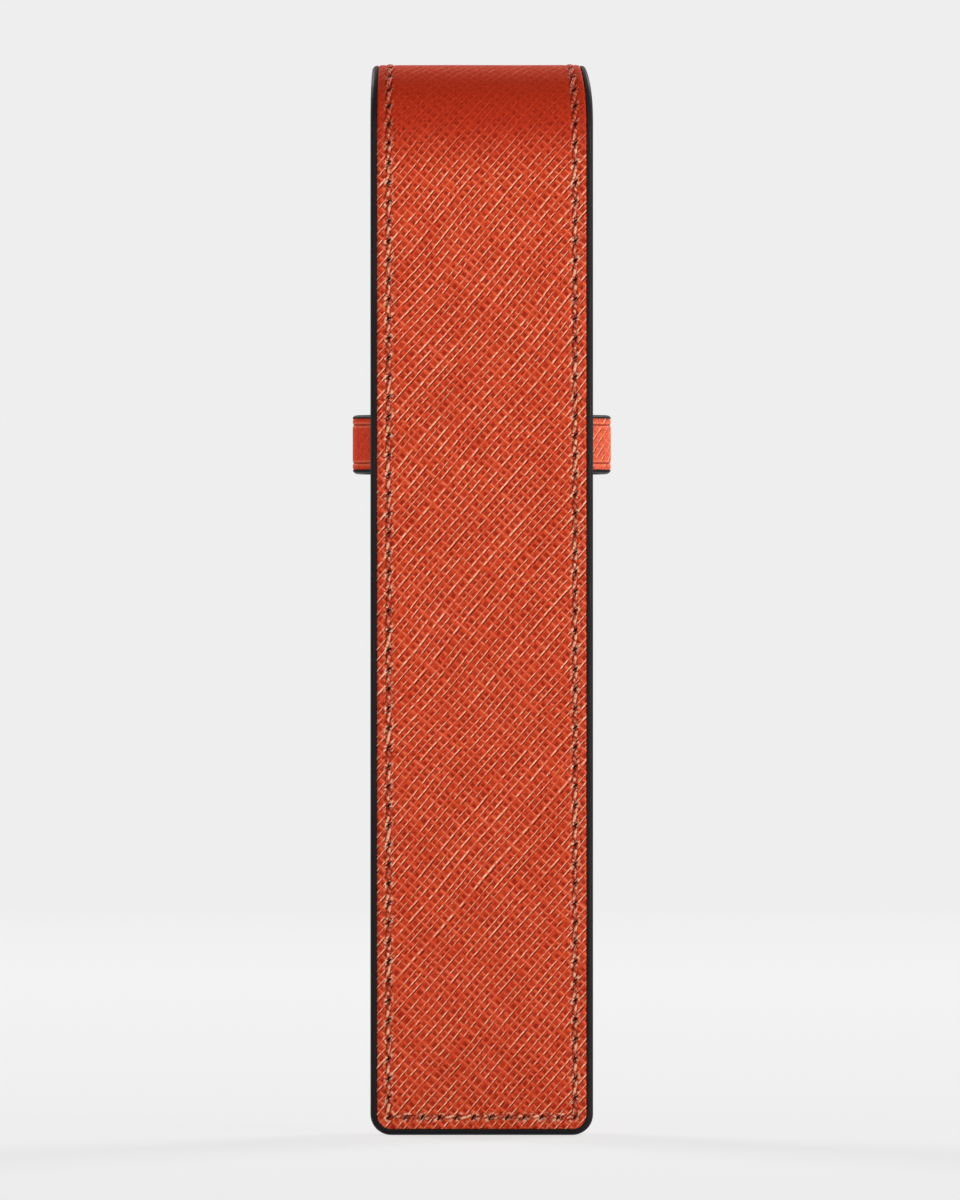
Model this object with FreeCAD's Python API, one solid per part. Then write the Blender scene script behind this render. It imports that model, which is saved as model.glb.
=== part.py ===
import FreeCAD, Part
import math
import os

# A sleeve for one pen. Lengths are millimetres. X runs across the sleeve, Z up its length from the foot,
# and depth is measured from the leather of the back towards the flap.

# Strip of leather, board and lining that makes the back, the fold and the flap
SLEEVE_HEIGHT = 160.0
LEATHER_WIDTH = 31.4
LEATHER_THICK = 1.0
INTERLINING_THICK = 0.5
LINING_THICK = 0.5
FOOT_RADIUS = 2.2

# Painted edge round the strip and round the flange of the front
EDGE_PAINT = 0.9
EDGE_ROUND_SHARE = 0.85

# Moulded front of the pouch
FLANGE_WIDTH = 4.2
FRONT_LEATHER_THICK = 1.1
FRONT_LINING_THICK = 0.5
POCKET_DEPTH = 13.4
POCKET_DRAFT = 1.5
POCKET_ROUND_SHARE = 0.8
TOE_ROUND_SHARE = 0.85
MOUTH_DROP = 10.0
MOUTH_PAINT = 0.6

# Flap, and the tongue at its end that is tucked behind the loop
FLAP_CLEARANCE = 1.0
TONGUE_CLEARANCE = 1.0
TONGUE_REACH = 10.7
TIP_RADIUS = 4.0

# Fold over the top, in links that unroll together
FOLD_LINKS = 5
LINK_GAP = 0.1

# Loop strap, whose ends are sewn into the side seams
LOOP_BASE = 98.7
LOOP_HEIGHT = 8.7
LOOP_LEATHER_THICK = 1.2
LOOP_LINING_THICK = 0.6
LOOP_PAINT = 0.5
LOOP_CLEARANCE = 0.6
LOOP_SIDE_CLEARANCE = 0.9
LOOP_CORNER_RADIUS = 4.0
LOOP_BEND_RADIUS = 2.4
LOOP_FLARE_DEG = 45.0
LOOP_TAB = 3.6

# Seam: short stitches that lie in a groove
STITCH_INSET = 1.8
STITCH_PITCH = 2.9
STITCH_SHARE = 0.72
THREAD_WIDTH = 0.5
THREAD_THICK = 0.35
THREAD_SUNK = 0.05
GROOVE_CLEARANCE = 0.05

# How far a cutting shape runs past what it cuts
OVERRUN = 1.0

# Depths, from the back face
STRIP_THICK = LEATHER_THICK + INTERLINING_THICK + LINING_THICK
FRONT_THICK = FRONT_LINING_THICK + FRONT_LEATHER_THICK
FLANGE_FACE = STRIP_THICK + FRONT_THICK
FRONT_FACE = FLANGE_FACE + POCKET_DEPTH
FLAP_FACE = FRONT_FACE + FLAP_CLEARANCE + STRIP_THICK
LOOP_THICK = LOOP_LEATHER_THICK + LOOP_LINING_THICK
LOOP_FACE = FLAP_FACE + LOOP_CLEARANCE + LOOP_THICK

# Half widths, from the middle of the sleeve
LEATHER_HALF = LEATHER_WIDTH / 2
BODY_HALF = LEATHER_HALF + EDGE_PAINT
LOOP_HALF = BODY_HALF + LOOP_SIDE_CLEARANCE + LOOP_THICK
POCKET_HALF = LEATHER_HALF - FLANGE_WIDTH - FRONT_THICK
STITCH_LINE = LEATHER_HALF - STITCH_INSET

# Heights, from the foot
FOLD_RADIUS = FLAP_FACE / 2
FOLD_HEIGHT = SLEEVE_HEIGHT - FOLD_RADIUS
MOUTH_HEIGHT = FOLD_HEIGHT - MOUTH_DROP
FRONT_TOP = MOUTH_HEIGHT - MOUTH_PAINT
POCKET_FOOT = EDGE_PAINT + FLANGE_WIDTH + FRONT_THICK
STITCH_FOOT = EDGE_PAINT + STITCH_INSET
LOOP_TOP = LOOP_BASE + LOOP_HEIGHT
TONGUE_TOP = LOOP_TOP + TONGUE_CLEARANCE
TONGUE_FOOT = LOOP_BASE - TONGUE_REACH + EDGE_PAINT

# Groove of the seam
GROOVE_HALF = THREAD_WIDTH / 2 + GROOVE_CLEARANCE
GROOVE_DEPTH = THREAD_SUNK + THREAD_THICK

# The strip's layers: name, depth of its outer face and of its inner face
BOARD_DEPTH = LEATHER_THICK + INTERLINING_THICK
STRIP_LAYERS = (
    ("leather", 0, LEATHER_THICK),
    ("interlining", LEATHER_THICK, BOARD_DEPTH),
    ("lining", BOARD_DEPTH, STRIP_THICK),
)

# Turns, in degrees. The fold turns from the back, over its crest, to the flap.
HALF_TURN = 180.0
QUARTER_TURN = HALF_TURN / 2
LINK_TURN = HALF_TURN / (FOLD_LINKS + 1)
FIRST_HINGE = LINK_TURN / 2
GAP_TURN = math.degrees(LINK_GAP / FOLD_RADIUS) / 2
FOLD_CENTRE = FreeCAD.Vector(0, FOLD_RADIUS, FOLD_HEIGHT)
FOLD_AXIS = FreeCAD.Vector(-1, 0, 0)

SIDES = (-1, 1)


def point(x, depth, height):
    return FreeCAD.Vector(x, depth, height)


def box(left, right, near, far, low, high):
    return Part.makeBox(right - left, far - near, high - low, point(left, near, low))


def joined(shapes):
    """One solid out of solids that meet face to face."""
    return shapes[0].fuse(shapes[1:]).removeSplitter().Solids[0]


def corner_points(before, corner, after, radius):
    """Start, middle and end of the arc that rounds a corner."""
    back = (before - corner).normalize()
    onward = (after - corner).normalize()
    half = back.getAngle(onward) / 2
    reach = radius / math.tan(half)
    inward = (back + onward).normalize()
    middle = corner + inward * (radius / math.sin(half) - radius)
    return corner + back * reach, middle, corner + onward * reach


def outline(points, radii):
    """Face inside a closed outline with rounded corners. A radius of 0 leaves a corner sharp."""
    count = len(points)
    corners = []
    for index in range(count):
        after = points[(index + 1) % count]
        corners.append(corner_points(points[index - 1], points[index], after, radii[index]))
    edges = []
    for index, (start, middle, end) in enumerate(corners):
        if radii[index] > 0:
            edges.append(Part.Arc(start, middle, end).toShape())
        edges.append(Part.LineSegment(end, corners[(index + 1) % count][0]).toShape())
    return Part.Face(Part.Wire(edges))


def section(left, right, near, far):
    """Rectangular section of the strip, square to it where the back meets the fold."""
    points = [
        point(left, near, FOLD_HEIGHT),
        point(right, near, FOLD_HEIGHT),
        point(right, far, FOLD_HEIGHT),
        point(left, far, FOLD_HEIGHT),
    ]
    return outline(points, (0, 0, 0, 0))


def over_fold(face, start, end):
    """A section carried round the fold from one angle to another."""
    turned = face.copy()
    turned.rotate(FOLD_CENTRE, FOLD_AXIS, start)
    return turned.revolve(FOLD_CENTRE, FOLD_AXIS, end - start)


def plate(near, far, low, high, foot_radius):
    """Flat panel as wide as the leather, with rounded lower corners."""
    points = [
        point(-LEATHER_HALF, near, high),
        point(-LEATHER_HALF, near, low),
        point(LEATHER_HALF, near, low),
        point(LEATHER_HALF, near, high),
    ]
    return outline(points, (0, foot_radius, foot_radius, 0)).extrude(point(0, far - near, 0))


def edge_section(side, near, far, height):
    """Rounded section of the painted edge on one side."""
    radius = EDGE_ROUND_SHARE * min(EDGE_PAINT, (far - near) / 2)
    points = [
        point(side * LEATHER_HALF, near, height),
        point(side * BODY_HALF, near, height),
        point(side * BODY_HALF, far, height),
        point(side * LEATHER_HALF, far, height),
    ]
    return outline(points, (0, radius, radius, 0))


def edge_side(side, near, far, low, high):
    return edge_section(side, near, far, low).extrude(point(0, 0, high - low))


def edge_round_foot(near, far, low, high, foot_radius):
    """Painted edge down one side, round the foot of a panel and up the other side."""
    bend = low + foot_radius
    runs = []
    for side in SIDES:
        runs.append(edge_side(side, near, far, bend, high))
        pivot = point(side * (LEATHER_HALF - foot_radius), 0, bend)
        corner = edge_section(side, near, far, bend)
        runs.append(corner.revolve(pivot, point(0, side, 0), QUARTER_TURN))
    across = edge_section(1, near, far, bend)
    across.rotate(pivot, point(0, 1, 0), QUARTER_TURN)
    runs.append(across.extrude(point(2 * foot_radius - LEATHER_WIDTH, 0, 0)))
    return joined(runs)


def edge_over_fold(side, start, end):
    return over_fold(edge_section(side, 0, STRIP_THICK, FOLD_HEIGHT), start, end)


def groove_down(near, far, low, high):
    """Grooves along both side seams."""
    return [
        box(side * STITCH_LINE - GROOVE_HALF, side * STITCH_LINE + GROOVE_HALF, near, far, low, high)
        for side in SIDES
    ]


def groove_across(near, far, height):
    """Groove along the seam at the foot of a panel."""
    reach = STITCH_LINE + GROOVE_HALF
    return box(-reach, reach, near, far, height - GROOVE_HALF, height + GROOVE_HALF)


def groove_over_fold(start, end):
    rings = []
    for side in SIDES:
        left = side * STITCH_LINE - GROOVE_HALF
        right = side * STITCH_LINE + GROOVE_HALF
        rings.append(over_fold(section(left, right, -OVERRUN, GROOVE_DEPTH), start, end))
    return rings


def stitch_spans(run):
    """Start and end of each stitch along a run of seam."""
    count = max(1, round(run / STITCH_PITCH))
    pitch = run / count
    gap = pitch * (1 - STITCH_SHARE) / 2
    return [(pitch * index + gap, pitch * (index + 1) - gap) for index in range(count)]


def stitches_down(near, far, low, high):
    """Stitches of both side seams between two heights."""
    stitches = []
    for side in SIDES:
        left = side * STITCH_LINE - THREAD_WIDTH / 2
        for start, end in stitch_spans(high - low):
            stitches.append(box(left, left + THREAD_WIDTH, near, far, high - end, high - start))
    return stitches


def stitches_across(near, far, height):
    """Stitches of the seam at the foot of a panel."""
    reach = STITCH_LINE - THREAD_WIDTH
    low = height - THREAD_WIDTH / 2
    return [
        box(start - reach, end - reach, near, far, low, low + THREAD_WIDTH)
        for start, end in stitch_spans(2 * reach)
    ]


def stitches_over_fold(start, end):
    """Stitches of both side seams between two angles of the fold."""
    stitches = []
    for side in SIDES:
        left = side * STITCH_LINE - THREAD_WIDTH / 2
        thread = section(left, left + THREAD_WIDTH, THREAD_SUNK, GROOVE_DEPTH)
        for first, last in stitch_spans(math.radians(end - start) * FOLD_RADIUS):
            begin = start + math.degrees(first / FOLD_RADIUS)
            stitches.append(over_fold(thread, begin, start + math.degrees(last / FOLD_RADIUS)))
    return stitches


def back_pieces():
    """The back, up to the first hinge of the fold."""
    end = FIRST_HINGE - GAP_TURN
    pieces = {}
    for name, near, far in STRIP_LAYERS:
        panel = plate(near, far, EDGE_PAINT, FOLD_HEIGHT, FOOT_RADIUS)
        bend = over_fold(section(-LEATHER_HALF, LEATHER_HALF, near, far), 0, end)
        pieces["back_" + name] = [joined([panel, bend])]
    grooves = groove_down(-OVERRUN, GROOVE_DEPTH, STITCH_FOOT, FOLD_HEIGHT)
    grooves.append(groove_across(-OVERRUN, GROOVE_DEPTH, STITCH_FOOT))
    grooves += groove_over_fold(0, end)
    pieces["back_leather"] = [pieces["back_leather"][0].cut(grooves).Solids[0]]
    edges = [edge_round_foot(0, STRIP_THICK, EDGE_PAINT, FOLD_HEIGHT, FOOT_RADIUS)]
    edges += [edge_over_fold(side, 0, end) for side in SIDES]
    pieces["back_edge_paint"] = [joined(edges)]
    thread = stitches_down(THREAD_SUNK, GROOVE_DEPTH, STITCH_FOOT + THREAD_WIDTH, FOLD_HEIGHT)
    thread += stitches_across(THREAD_SUNK, GROOVE_DEPTH, STITCH_FOOT)
    pieces["back_thread"] = thread + stitches_over_fold(0, end)
    return pieces


def fold_pieces():
    """The links of the fold, each between two hinges."""
    pieces = {}
    for link in range(1, FOLD_LINKS + 1):
        end = FIRST_HINGE + LINK_TURN * link - GAP_TURN
        start = end + 2 * GAP_TURN - LINK_TURN
        for name, near, far in STRIP_LAYERS:
            bend = over_fold(section(-LEATHER_HALF, LEATHER_HALF, near, far), start, end)
            pieces[f"fold_{name}_{link}"] = [bend]
        leather = pieces[f"fold_leather_{link}"][0]
        pieces[f"fold_leather_{link}"] = [leather.cut(groove_over_fold(start, end)).Solids[0]]
        pieces[f"fold_edge_paint_{link}"] = [edge_over_fold(side, start, end) for side in SIDES]
        pieces[f"fold_thread_{link}"] = stitches_over_fold(start, end)
    return pieces


def flap_pieces():
    """The flap, from the last hinge of the fold down to the loop."""
    start = HALF_TURN - FIRST_HINGE + GAP_TURN
    pieces = {}
    for name, near, far in STRIP_LAYERS:
        panel = plate(FLAP_FACE - far, FLAP_FACE - near, TONGUE_TOP, FOLD_HEIGHT, 0)
        bend = over_fold(section(-LEATHER_HALF, LEATHER_HALF, near, far), start, HALF_TURN)
        pieces["flap_" + name] = [joined([panel, bend])]
    groove_floor = FLAP_FACE - GROOVE_DEPTH
    grooves = groove_down(groove_floor, FLAP_FACE + OVERRUN, TONGUE_TOP, FOLD_HEIGHT)
    grooves += groove_over_fold(start, HALF_TURN)
    pieces["flap_leather"] = [pieces["flap_leather"][0].cut(grooves).Solids[0]]
    edges = []
    for side in SIDES:
        straight = edge_side(side, FLAP_FACE - STRIP_THICK, FLAP_FACE, TONGUE_TOP, FOLD_HEIGHT)
        edges.append(joined([straight, edge_over_fold(side, start, HALF_TURN)]))
    pieces["flap_edge_paint"] = edges
    thread = stitches_down(groove_floor, FLAP_FACE - THREAD_SUNK, TONGUE_TOP, FOLD_HEIGHT)
    pieces["flap_thread"] = thread + stitches_over_fold(start, HALF_TURN)
    return pieces


def tongue_pieces():
    """The end of the flap, behind the loop and a little below it."""
    pieces = {}
    for name, near, far in STRIP_LAYERS:
        panel = plate(FLAP_FACE - far, FLAP_FACE - near, TONGUE_FOOT, TONGUE_TOP, TIP_RADIUS)
        pieces["tongue_" + name] = [panel]
    groove_floor = FLAP_FACE - GROOVE_DEPTH
    seam_foot = TONGUE_FOOT + STITCH_INSET
    grooves = groove_down(groove_floor, FLAP_FACE + OVERRUN, seam_foot, TONGUE_TOP)
    grooves.append(groove_across(groove_floor, FLAP_FACE + OVERRUN, seam_foot))
    pieces["tongue_leather"] = [pieces["tongue_leather"][0].cut(grooves).Solids[0]]
    edge = edge_round_foot(FLAP_FACE - STRIP_THICK, FLAP_FACE, TONGUE_FOOT, TONGUE_TOP, TIP_RADIUS)
    pieces["tongue_edge_paint"] = [edge]
    thread = stitches_down(groove_floor, FLAP_FACE - THREAD_SUNK, seam_foot + THREAD_WIDTH, TONGUE_TOP)
    pieces["tongue_thread"] = thread + stitches_across(groove_floor, FLAP_FACE - THREAD_SUNK, seam_foot)
    return pieces


def pen_room(growth):
    """Space for the pen, grown by a thickness: tapered towards the front, with a rounded toe."""
    half = POCKET_HALF + growth
    far = STRIP_THICK + POCKET_DEPTH + growth
    foot = POCKET_FOOT - growth
    front_half = half - POCKET_DRAFT
    room = min(POCKET_HALF - POCKET_DRAFT, POCKET_DEPTH)
    shoulder = POCKET_ROUND_SHARE * room + growth
    toe = TOE_ROUND_SHARE * POCKET_DEPTH + growth
    across = [
        point(-half, STRIP_THICK, foot),
        point(half, STRIP_THICK, foot),
        point(front_half, far, foot),
        point(-front_half, far, foot),
    ]
    tube = outline(across, (0, 0, shoulder, shoulder)).extrude(point(0, 0, MOUTH_HEIGHT - foot))
    along = [
        point(-half, STRIP_THICK, foot),
        point(-half, far, foot),
        point(-half, far, MOUTH_HEIGHT),
        point(-half, STRIP_THICK, MOUTH_HEIGHT),
    ]
    return tube.common(outline(along, (0, toe, 0, 0)).extrude(point(2 * half, 0, 0))).Solids[0]


def loop_tabs():
    """Thinned ends of the strap, inside the side seams."""
    tabs = []
    for side in SIDES:
        inner = side * (BODY_HALF - LOOP_TAB)
        outer = side * BODY_HALF
        left, right = sorted((inner, outer))
        far = STRIP_THICK + FRONT_LINING_THICK
        tabs.append(box(left, right, STRIP_THICK, far, LOOP_BASE + LOOP_PAINT, LOOP_TOP - LOOP_PAINT))
    return tabs


def front_pieces():
    """Moulded front: a domed panel with a flange that is sewn to the back."""
    lining_flange_face = STRIP_THICK + FRONT_LINING_THICK
    lining_flange = plate(STRIP_THICK, lining_flange_face, EDGE_PAINT, MOUTH_HEIGHT, FOOT_RADIUS)
    leather_flange = plate(lining_flange_face, FLANGE_FACE, EDGE_PAINT, MOUTH_HEIGHT, FOOT_RADIUS)
    lining_room = pen_room(FRONT_LINING_THICK)
    lining = lining_flange.fuse(lining_room).cut(pen_room(0))
    leather = leather_flange.fuse(pen_room(FRONT_THICK)).cut([lining_room, lining_flange])
    rim = box(-BODY_HALF, BODY_HALF, 0, LOOP_FACE, FRONT_TOP, MOUTH_HEIGHT + OVERRUN)
    groove_floor = FLANGE_FACE - GROOVE_DEPTH
    grooves = groove_down(groove_floor, FLANGE_FACE + OVERRUN, STITCH_FOOT, FRONT_TOP)
    foot_groove = groove_across(groove_floor, FLANGE_FACE + OVERRUN, STITCH_FOOT)
    thread = stitches_down(groove_floor, FLANGE_FACE - THREAD_SUNK, STITCH_FOOT + THREAD_WIDTH, FRONT_TOP)
    thread += stitches_across(groove_floor, FLANGE_FACE - THREAD_SUNK, STITCH_FOOT)
    edges = [edge_round_foot(STRIP_THICK, FLANGE_FACE, EDGE_PAINT, LOOP_BASE, FOOT_RADIUS)]
    edges += [edge_side(side, STRIP_THICK, FLANGE_FACE, LOOP_TOP, MOUTH_HEIGHT) for side in SIDES]
    return {
        "front_lining": [lining.cut([rim] + loop_tabs()).Solids[0]],
        "front_leather": [leather.cut([rim, foot_groove] + grooves).removeSplitter().Solids[0]],
        "mouth_edge_paint": [leather.fuse(lining).common(rim).removeSplitter().Solids[0]],
        "front_edge_paint": edges,
        "front_thread": thread,
    }


def loop_outline(inset, low, high):
    """Solid inside the strap's outline: it flares out of the seams and runs square round the flap."""
    flare = math.radians(LOOP_FLARE_DEG)
    half = LOOP_HALF - inset
    far = LOOP_FACE - inset
    seam = BODY_HALF - inset / math.sin(flare)
    bend = STRIP_THICK + (half - BODY_HALF) * math.tan(flare) + inset / math.cos(flare)
    points = [
        point(-seam, STRIP_THICK, low),
        point(seam, STRIP_THICK, low),
        point(half, bend, low),
        point(half, far, low),
        point(-half, far, low),
        point(-half, bend, low),
    ]
    bend_radius = LOOP_BEND_RADIUS - inset
    corner_radius = LOOP_CORNER_RADIUS - inset
    radii = (0, 0, bend_radius, corner_radius, corner_radius, bend_radius)
    return outline(points, radii).extrude(point(0, 0, high - low))


def loop_band(outer, inner, low, high):
    """The strap between two insets, cut away where the body passes through it."""
    body = box(-BODY_HALF, BODY_HALF, 0, FOLD_RADIUS, low - OVERRUN, high + OVERRUN)
    return loop_outline(outer, low, high).cut([loop_outline(inner, low, high), body])


def loop_pieces():
    """The loop strap: leather, lining and the painted upper and lower edges."""
    low = LOOP_BASE + LOOP_PAINT
    high = LOOP_TOP - LOOP_PAINT
    leather = loop_band(0, LOOP_LEATHER_THICK, low, high)
    edges = [
        loop_band(0, LOOP_THICK, LOOP_BASE, low).Solids[0],
        loop_band(0, LOOP_THICK, high, LOOP_TOP).Solids[0],
    ]
    return {
        "loop_leather": [joined([leather] + loop_tabs())],
        "loop_lining": [loop_band(LOOP_LEATHER_THICK, LOOP_THICK, low, high).Solids[0]],
        "loop_edge_paint": edges,
    }


def export(pieces):
    """Write each named piece, or group of like pieces, with the middle of the depth at the origin."""
    os.makedirs("parts", exist_ok=True)
    for name, solids in pieces.items():
        shape = solids[0] if len(solids) == 1 else Part.Compound(solids)
        shape.translate(point(0, -LOOP_FACE / 2, 0))
        shape.exportStep(f"parts/{name}.step")


for make_pieces in (back_pieces, fold_pieces, flap_pieces, tongue_pieces, front_pieces, loop_pieces):
    export(make_pieces())
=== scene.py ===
import math

import bmesh
import bpy
from mathutils import Matrix, Vector, noise
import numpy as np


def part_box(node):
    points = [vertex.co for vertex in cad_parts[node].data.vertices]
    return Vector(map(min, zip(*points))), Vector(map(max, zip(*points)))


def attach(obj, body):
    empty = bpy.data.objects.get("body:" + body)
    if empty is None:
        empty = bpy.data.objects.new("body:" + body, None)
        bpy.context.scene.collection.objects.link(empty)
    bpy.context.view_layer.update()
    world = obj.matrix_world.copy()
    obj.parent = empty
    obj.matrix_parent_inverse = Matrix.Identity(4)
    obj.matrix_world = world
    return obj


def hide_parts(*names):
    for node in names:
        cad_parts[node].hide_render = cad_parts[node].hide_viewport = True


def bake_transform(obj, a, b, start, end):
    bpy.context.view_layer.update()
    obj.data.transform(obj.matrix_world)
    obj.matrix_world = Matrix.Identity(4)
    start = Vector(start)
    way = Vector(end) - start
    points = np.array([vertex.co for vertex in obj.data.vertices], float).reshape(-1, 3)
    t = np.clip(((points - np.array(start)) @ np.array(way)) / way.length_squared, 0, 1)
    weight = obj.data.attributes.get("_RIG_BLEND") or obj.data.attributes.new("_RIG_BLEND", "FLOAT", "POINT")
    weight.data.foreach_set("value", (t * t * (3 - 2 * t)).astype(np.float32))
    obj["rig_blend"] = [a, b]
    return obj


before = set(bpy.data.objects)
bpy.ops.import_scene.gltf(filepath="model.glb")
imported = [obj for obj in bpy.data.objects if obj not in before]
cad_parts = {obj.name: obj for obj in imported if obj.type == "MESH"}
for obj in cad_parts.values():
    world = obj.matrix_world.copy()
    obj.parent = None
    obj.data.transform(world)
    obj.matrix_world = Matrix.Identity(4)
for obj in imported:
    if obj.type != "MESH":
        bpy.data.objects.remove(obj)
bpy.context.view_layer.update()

MM = 0.001

# The strip: back, fold over the top and flap, in layers of leather, board and lining
leather_low, leather_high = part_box("back_leather")
paint_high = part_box("back_edge_paint")[1]
crest_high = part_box("fold_leather_3")[1]
tongue_low, tongue_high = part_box("tongue_leather")
tongue_board_low, tongue_board_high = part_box("tongue_interlining")
tongue_lining_low, tongue_lining_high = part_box("tongue_lining")
BACK_FACE = leather_low.y
FLAP_FACE = tongue_high.y
LEATHER = tongue_high.y - tongue_low.y
BOARD = tongue_board_high.y - tongue_board_low.y
LINING = tongue_lining_high.y - tongue_lining_low.y
STRIP = LEATHER + BOARD + LINING
HALF_WIDTH = leather_high.x
EDGE_PAINT = paint_high.x - leather_high.x
FOLD_RADIUS = (FLAP_FACE - BACK_FACE) / 2
FOLD_HEIGHT = crest_high.z - FOLD_RADIUS
FOOT = leather_low.z
FOOT_CORNER = 2.2 * MM
TIP_CORNER = 4.0 * MM
CORNER_ROOM = 5.0 * MM

# Lengths along the strip, measured up the back from the ground, over the fold and down the flap
FOLD_START = FOLD_HEIGHT
FOLD_END = FOLD_START + math.pi * FOLD_RADIUS
TIP = FOLD_END + FOLD_HEIGHT - tongue_low.z
FOLD_PARTS = 6

# The front pouch
front_low, front_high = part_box("front_leather")
front_lining_low, front_lining_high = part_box("front_lining")
mouth_low, mouth_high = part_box("mouth_edge_paint")
front_edge_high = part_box("front_edge_paint")[1]
FLANGE_FACE = front_edge_high.y
FLANGE_SEAT = front_low.y
FLANGE_BACK = front_lining_low.y
FLANGE_WIDTH = 4.2 * MM
FRONT_LEATHER = front_high.y - front_lining_high.y
FRONT_LINING = FLANGE_SEAT - FLANGE_BACK
FRONT_THICK = FRONT_LEATHER + FRONT_LINING
POUCH_DRAFT = 1.5 * MM
POUCH_SHOULDER = 8.3 * MM
POUCH_FILLET = 1.0 * MM
POUCH_TOE = 13.0 * MM
POUCH_TOE_SIDE = 6.5 * MM
POUCH_FOOT = 5.1 * MM
TOE_ROW_SHARES = (-0.4, 0.02, 0.1, 0.3, 0.6, 1.0)
FILLET_STEPS = 5
SHOULDER_STEPS = 14
MOUTH_ROUND = 0.22 * MM
MOUTH_STEPS = 3
FLANGE_ROOM = 0.3 * MM
DOME_GRAIN = -400

# The loop round the flap
loop_low, loop_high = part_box("loop_leather")
loop_paint_low, loop_paint_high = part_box("loop_edge_paint")
loop_lining_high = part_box("loop_lining")[1]
LOOP_LEATHER = loop_high.y - loop_lining_high.y
LOOP_LINING = 0.6 * MM
LOOP_BEND = 2.4 * MM
LOOP_CORNER = 4.0 * MM
LOOP_FLARE = math.radians(45)
LOOP_ROOT = 0.5 * MM
LOOP_CREASE_INSET = 1.0 * MM
LOOP_CREASE_DEPTH = 0.16 * MM
LOOP_CREASE_WIDTH = 0.16 * MM
LOOP_STEPS = [step * MM for step in (0, 0.1, 0.25, 0.45, 0.7, 0.85, 1.0, 1.15, 1.3, 1.6)]

# The seam
SEAM_INSET = 1.8 * MM
SEAM_SIDE = HALF_WIDTH - SEAM_INSET
SEAM_FOOT = FOOT + SEAM_INSET
SEAM_TIP = TIP - SEAM_INSET
STITCH_PITCH = 2.9 * MM
SIDE_STITCHES = round((SEAM_TIP - SEAM_FOOT) / STITCH_PITCH)
FOOT_STITCHES = 11
STITCH = (SEAM_TIP - SEAM_FOOT) / SIDE_STITCHES
FOOT_STITCH = 2 * SEAM_SIDE / FOOT_STITCHES
ROWS_PER_STITCH = 4
SEAM_DEPTH = 0.34 * MM
SEAM_WIDTH = 0.42 * MM
SLIT_DEPTH = 0.30 * MM
SLIT_NEAR_SHARE = 0.02
PUCKER_SHARE = 0.35
THREAD_RADIUS = 0.30 * MM
THREAD_RISE = 0.16 * MM
THREAD_LEAN = 0.34 * MM
THREAD_TAPER_SHARE = 0.45
THREAD_TAPER_POWER = 4
THREAD_DIVE_POWER = 5
THREAD_FLAT_SHARE = 0.75
THREAD_LOBE_SHARE = 0.12
THREAD_TWIST = 2.4
THREAD_SIDES = 8
THREAD_RINGS = 7

# Soft edges, painted beads and the slow swell of the leather
EDGE_DROP = 0.34 * MM
EDGE_SOFT = 0.16 * MM
LOOP_EDGE_DROP = 0.6 * EDGE_DROP
SWELL = 0.05 * MM
SWELL_SIZE = 9 * MM
EDGE_STEPS = [step * MM for step in (0, 0.08, 0.22, 0.45, 0.8, 1.2, 1.45, 1.64, 1.8, 1.96, 2.15, 2.4)]
FOLD_DRAW_LEFT = 0.2 * MM
FOLD_DRAW_RIGHT = 0.95 * MM
FOLD_LIFT_POWER = 3
FOLD_DRAW_POWER = 2
BEAD_STEPS = 10
BEAD_CREVICE = 0.10 * MM
BEAD_FULLNESS = 0.7
CORNER_STEPS = 10
CORNER_DRAW_POWER = 6
SHARP_ANGLE = math.radians(50)
TINY = 1e-7


def add_node(tree, kind, settings, sockets):
    """Add a node with its settings, and set or link its sockets."""
    node = tree.nodes.new(kind)
    for name, value in settings.items():
        setattr(node, name, value)
    for key, value in sockets.items():
        if isinstance(value, bpy.types.NodeSocket):
            tree.links.new(value, node.inputs[key])
        else:
            node.inputs[key].default_value = value
    return node


def maths(tree, operation, first, second=0.0, third=0.0):
    """One step of arithmetic on a pattern."""
    node = add_node(tree, "ShaderNodeMath", {"operation": operation}, {0: first, 1: second, 2: third})
    return node.outputs[0]


def times(tree, first, second):
    """Product of two patterns."""
    return maths(tree, "MULTIPLY", first, second)


def apart(tree, first, second):
    """How far apart two patterns are."""
    return maths(tree, "ABSOLUTE", maths(tree, "SUBTRACT", first, second))


def ramp(tree, value, low, high, to_low=0.0, to_high=1.0):
    """Smooth step of a pattern from one value to another."""
    node = add_node(
        tree,
        "ShaderNodeMapRange",
        {"interpolation_type": "SMOOTHSTEP"},
        {"Value": value, "From Min": low, "From Max": high, "To Min": to_low, "To Max": to_high},
    )
    return node.outputs["Result"]


def speckle(tree, place, scale, detail=2.0, roughness=0.5):
    """Noise between 0 and 1."""
    node = add_node(
        tree,
        "ShaderNodeTexNoise",
        {},
        {"Vector": place, "Scale": scale, "Detail": detail, "Roughness": roughness},
    )
    return node.outputs[0]


def tint(tree, share, first, second):
    """Mix of two colours."""
    node = add_node(
        tree,
        "ShaderNodeMix",
        {"data_type": "RGBA"},
        {"Factor": share, "A": first, "B": second},
    )
    return node.outputs["Result"]


def new_finish(name):
    """An empty material with its node tree and shader."""
    finish = bpy.data.materials.new(name)
    finish.use_nodes = True
    return finish, finish.node_tree, finish.node_tree.nodes["Principled BSDF"]


def bumped(tree, shader, height, strength, distance):
    """Lead a height pattern into the shader's normal."""
    bump = add_node(
        tree,
        "ShaderNodeBump",
        {},
        {"Strength": strength, "Distance": distance, "Height": height},
    )
    tree.links.new(bump.outputs["Normal"], shader.inputs["Normal"])


def combined(tree, x, y, z=0.0):
    """A vector from its parts."""
    return add_node(tree, "ShaderNodeCombineXYZ", {}, {"X": x, "Y": y, "Z": z}).outputs[0]


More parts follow.
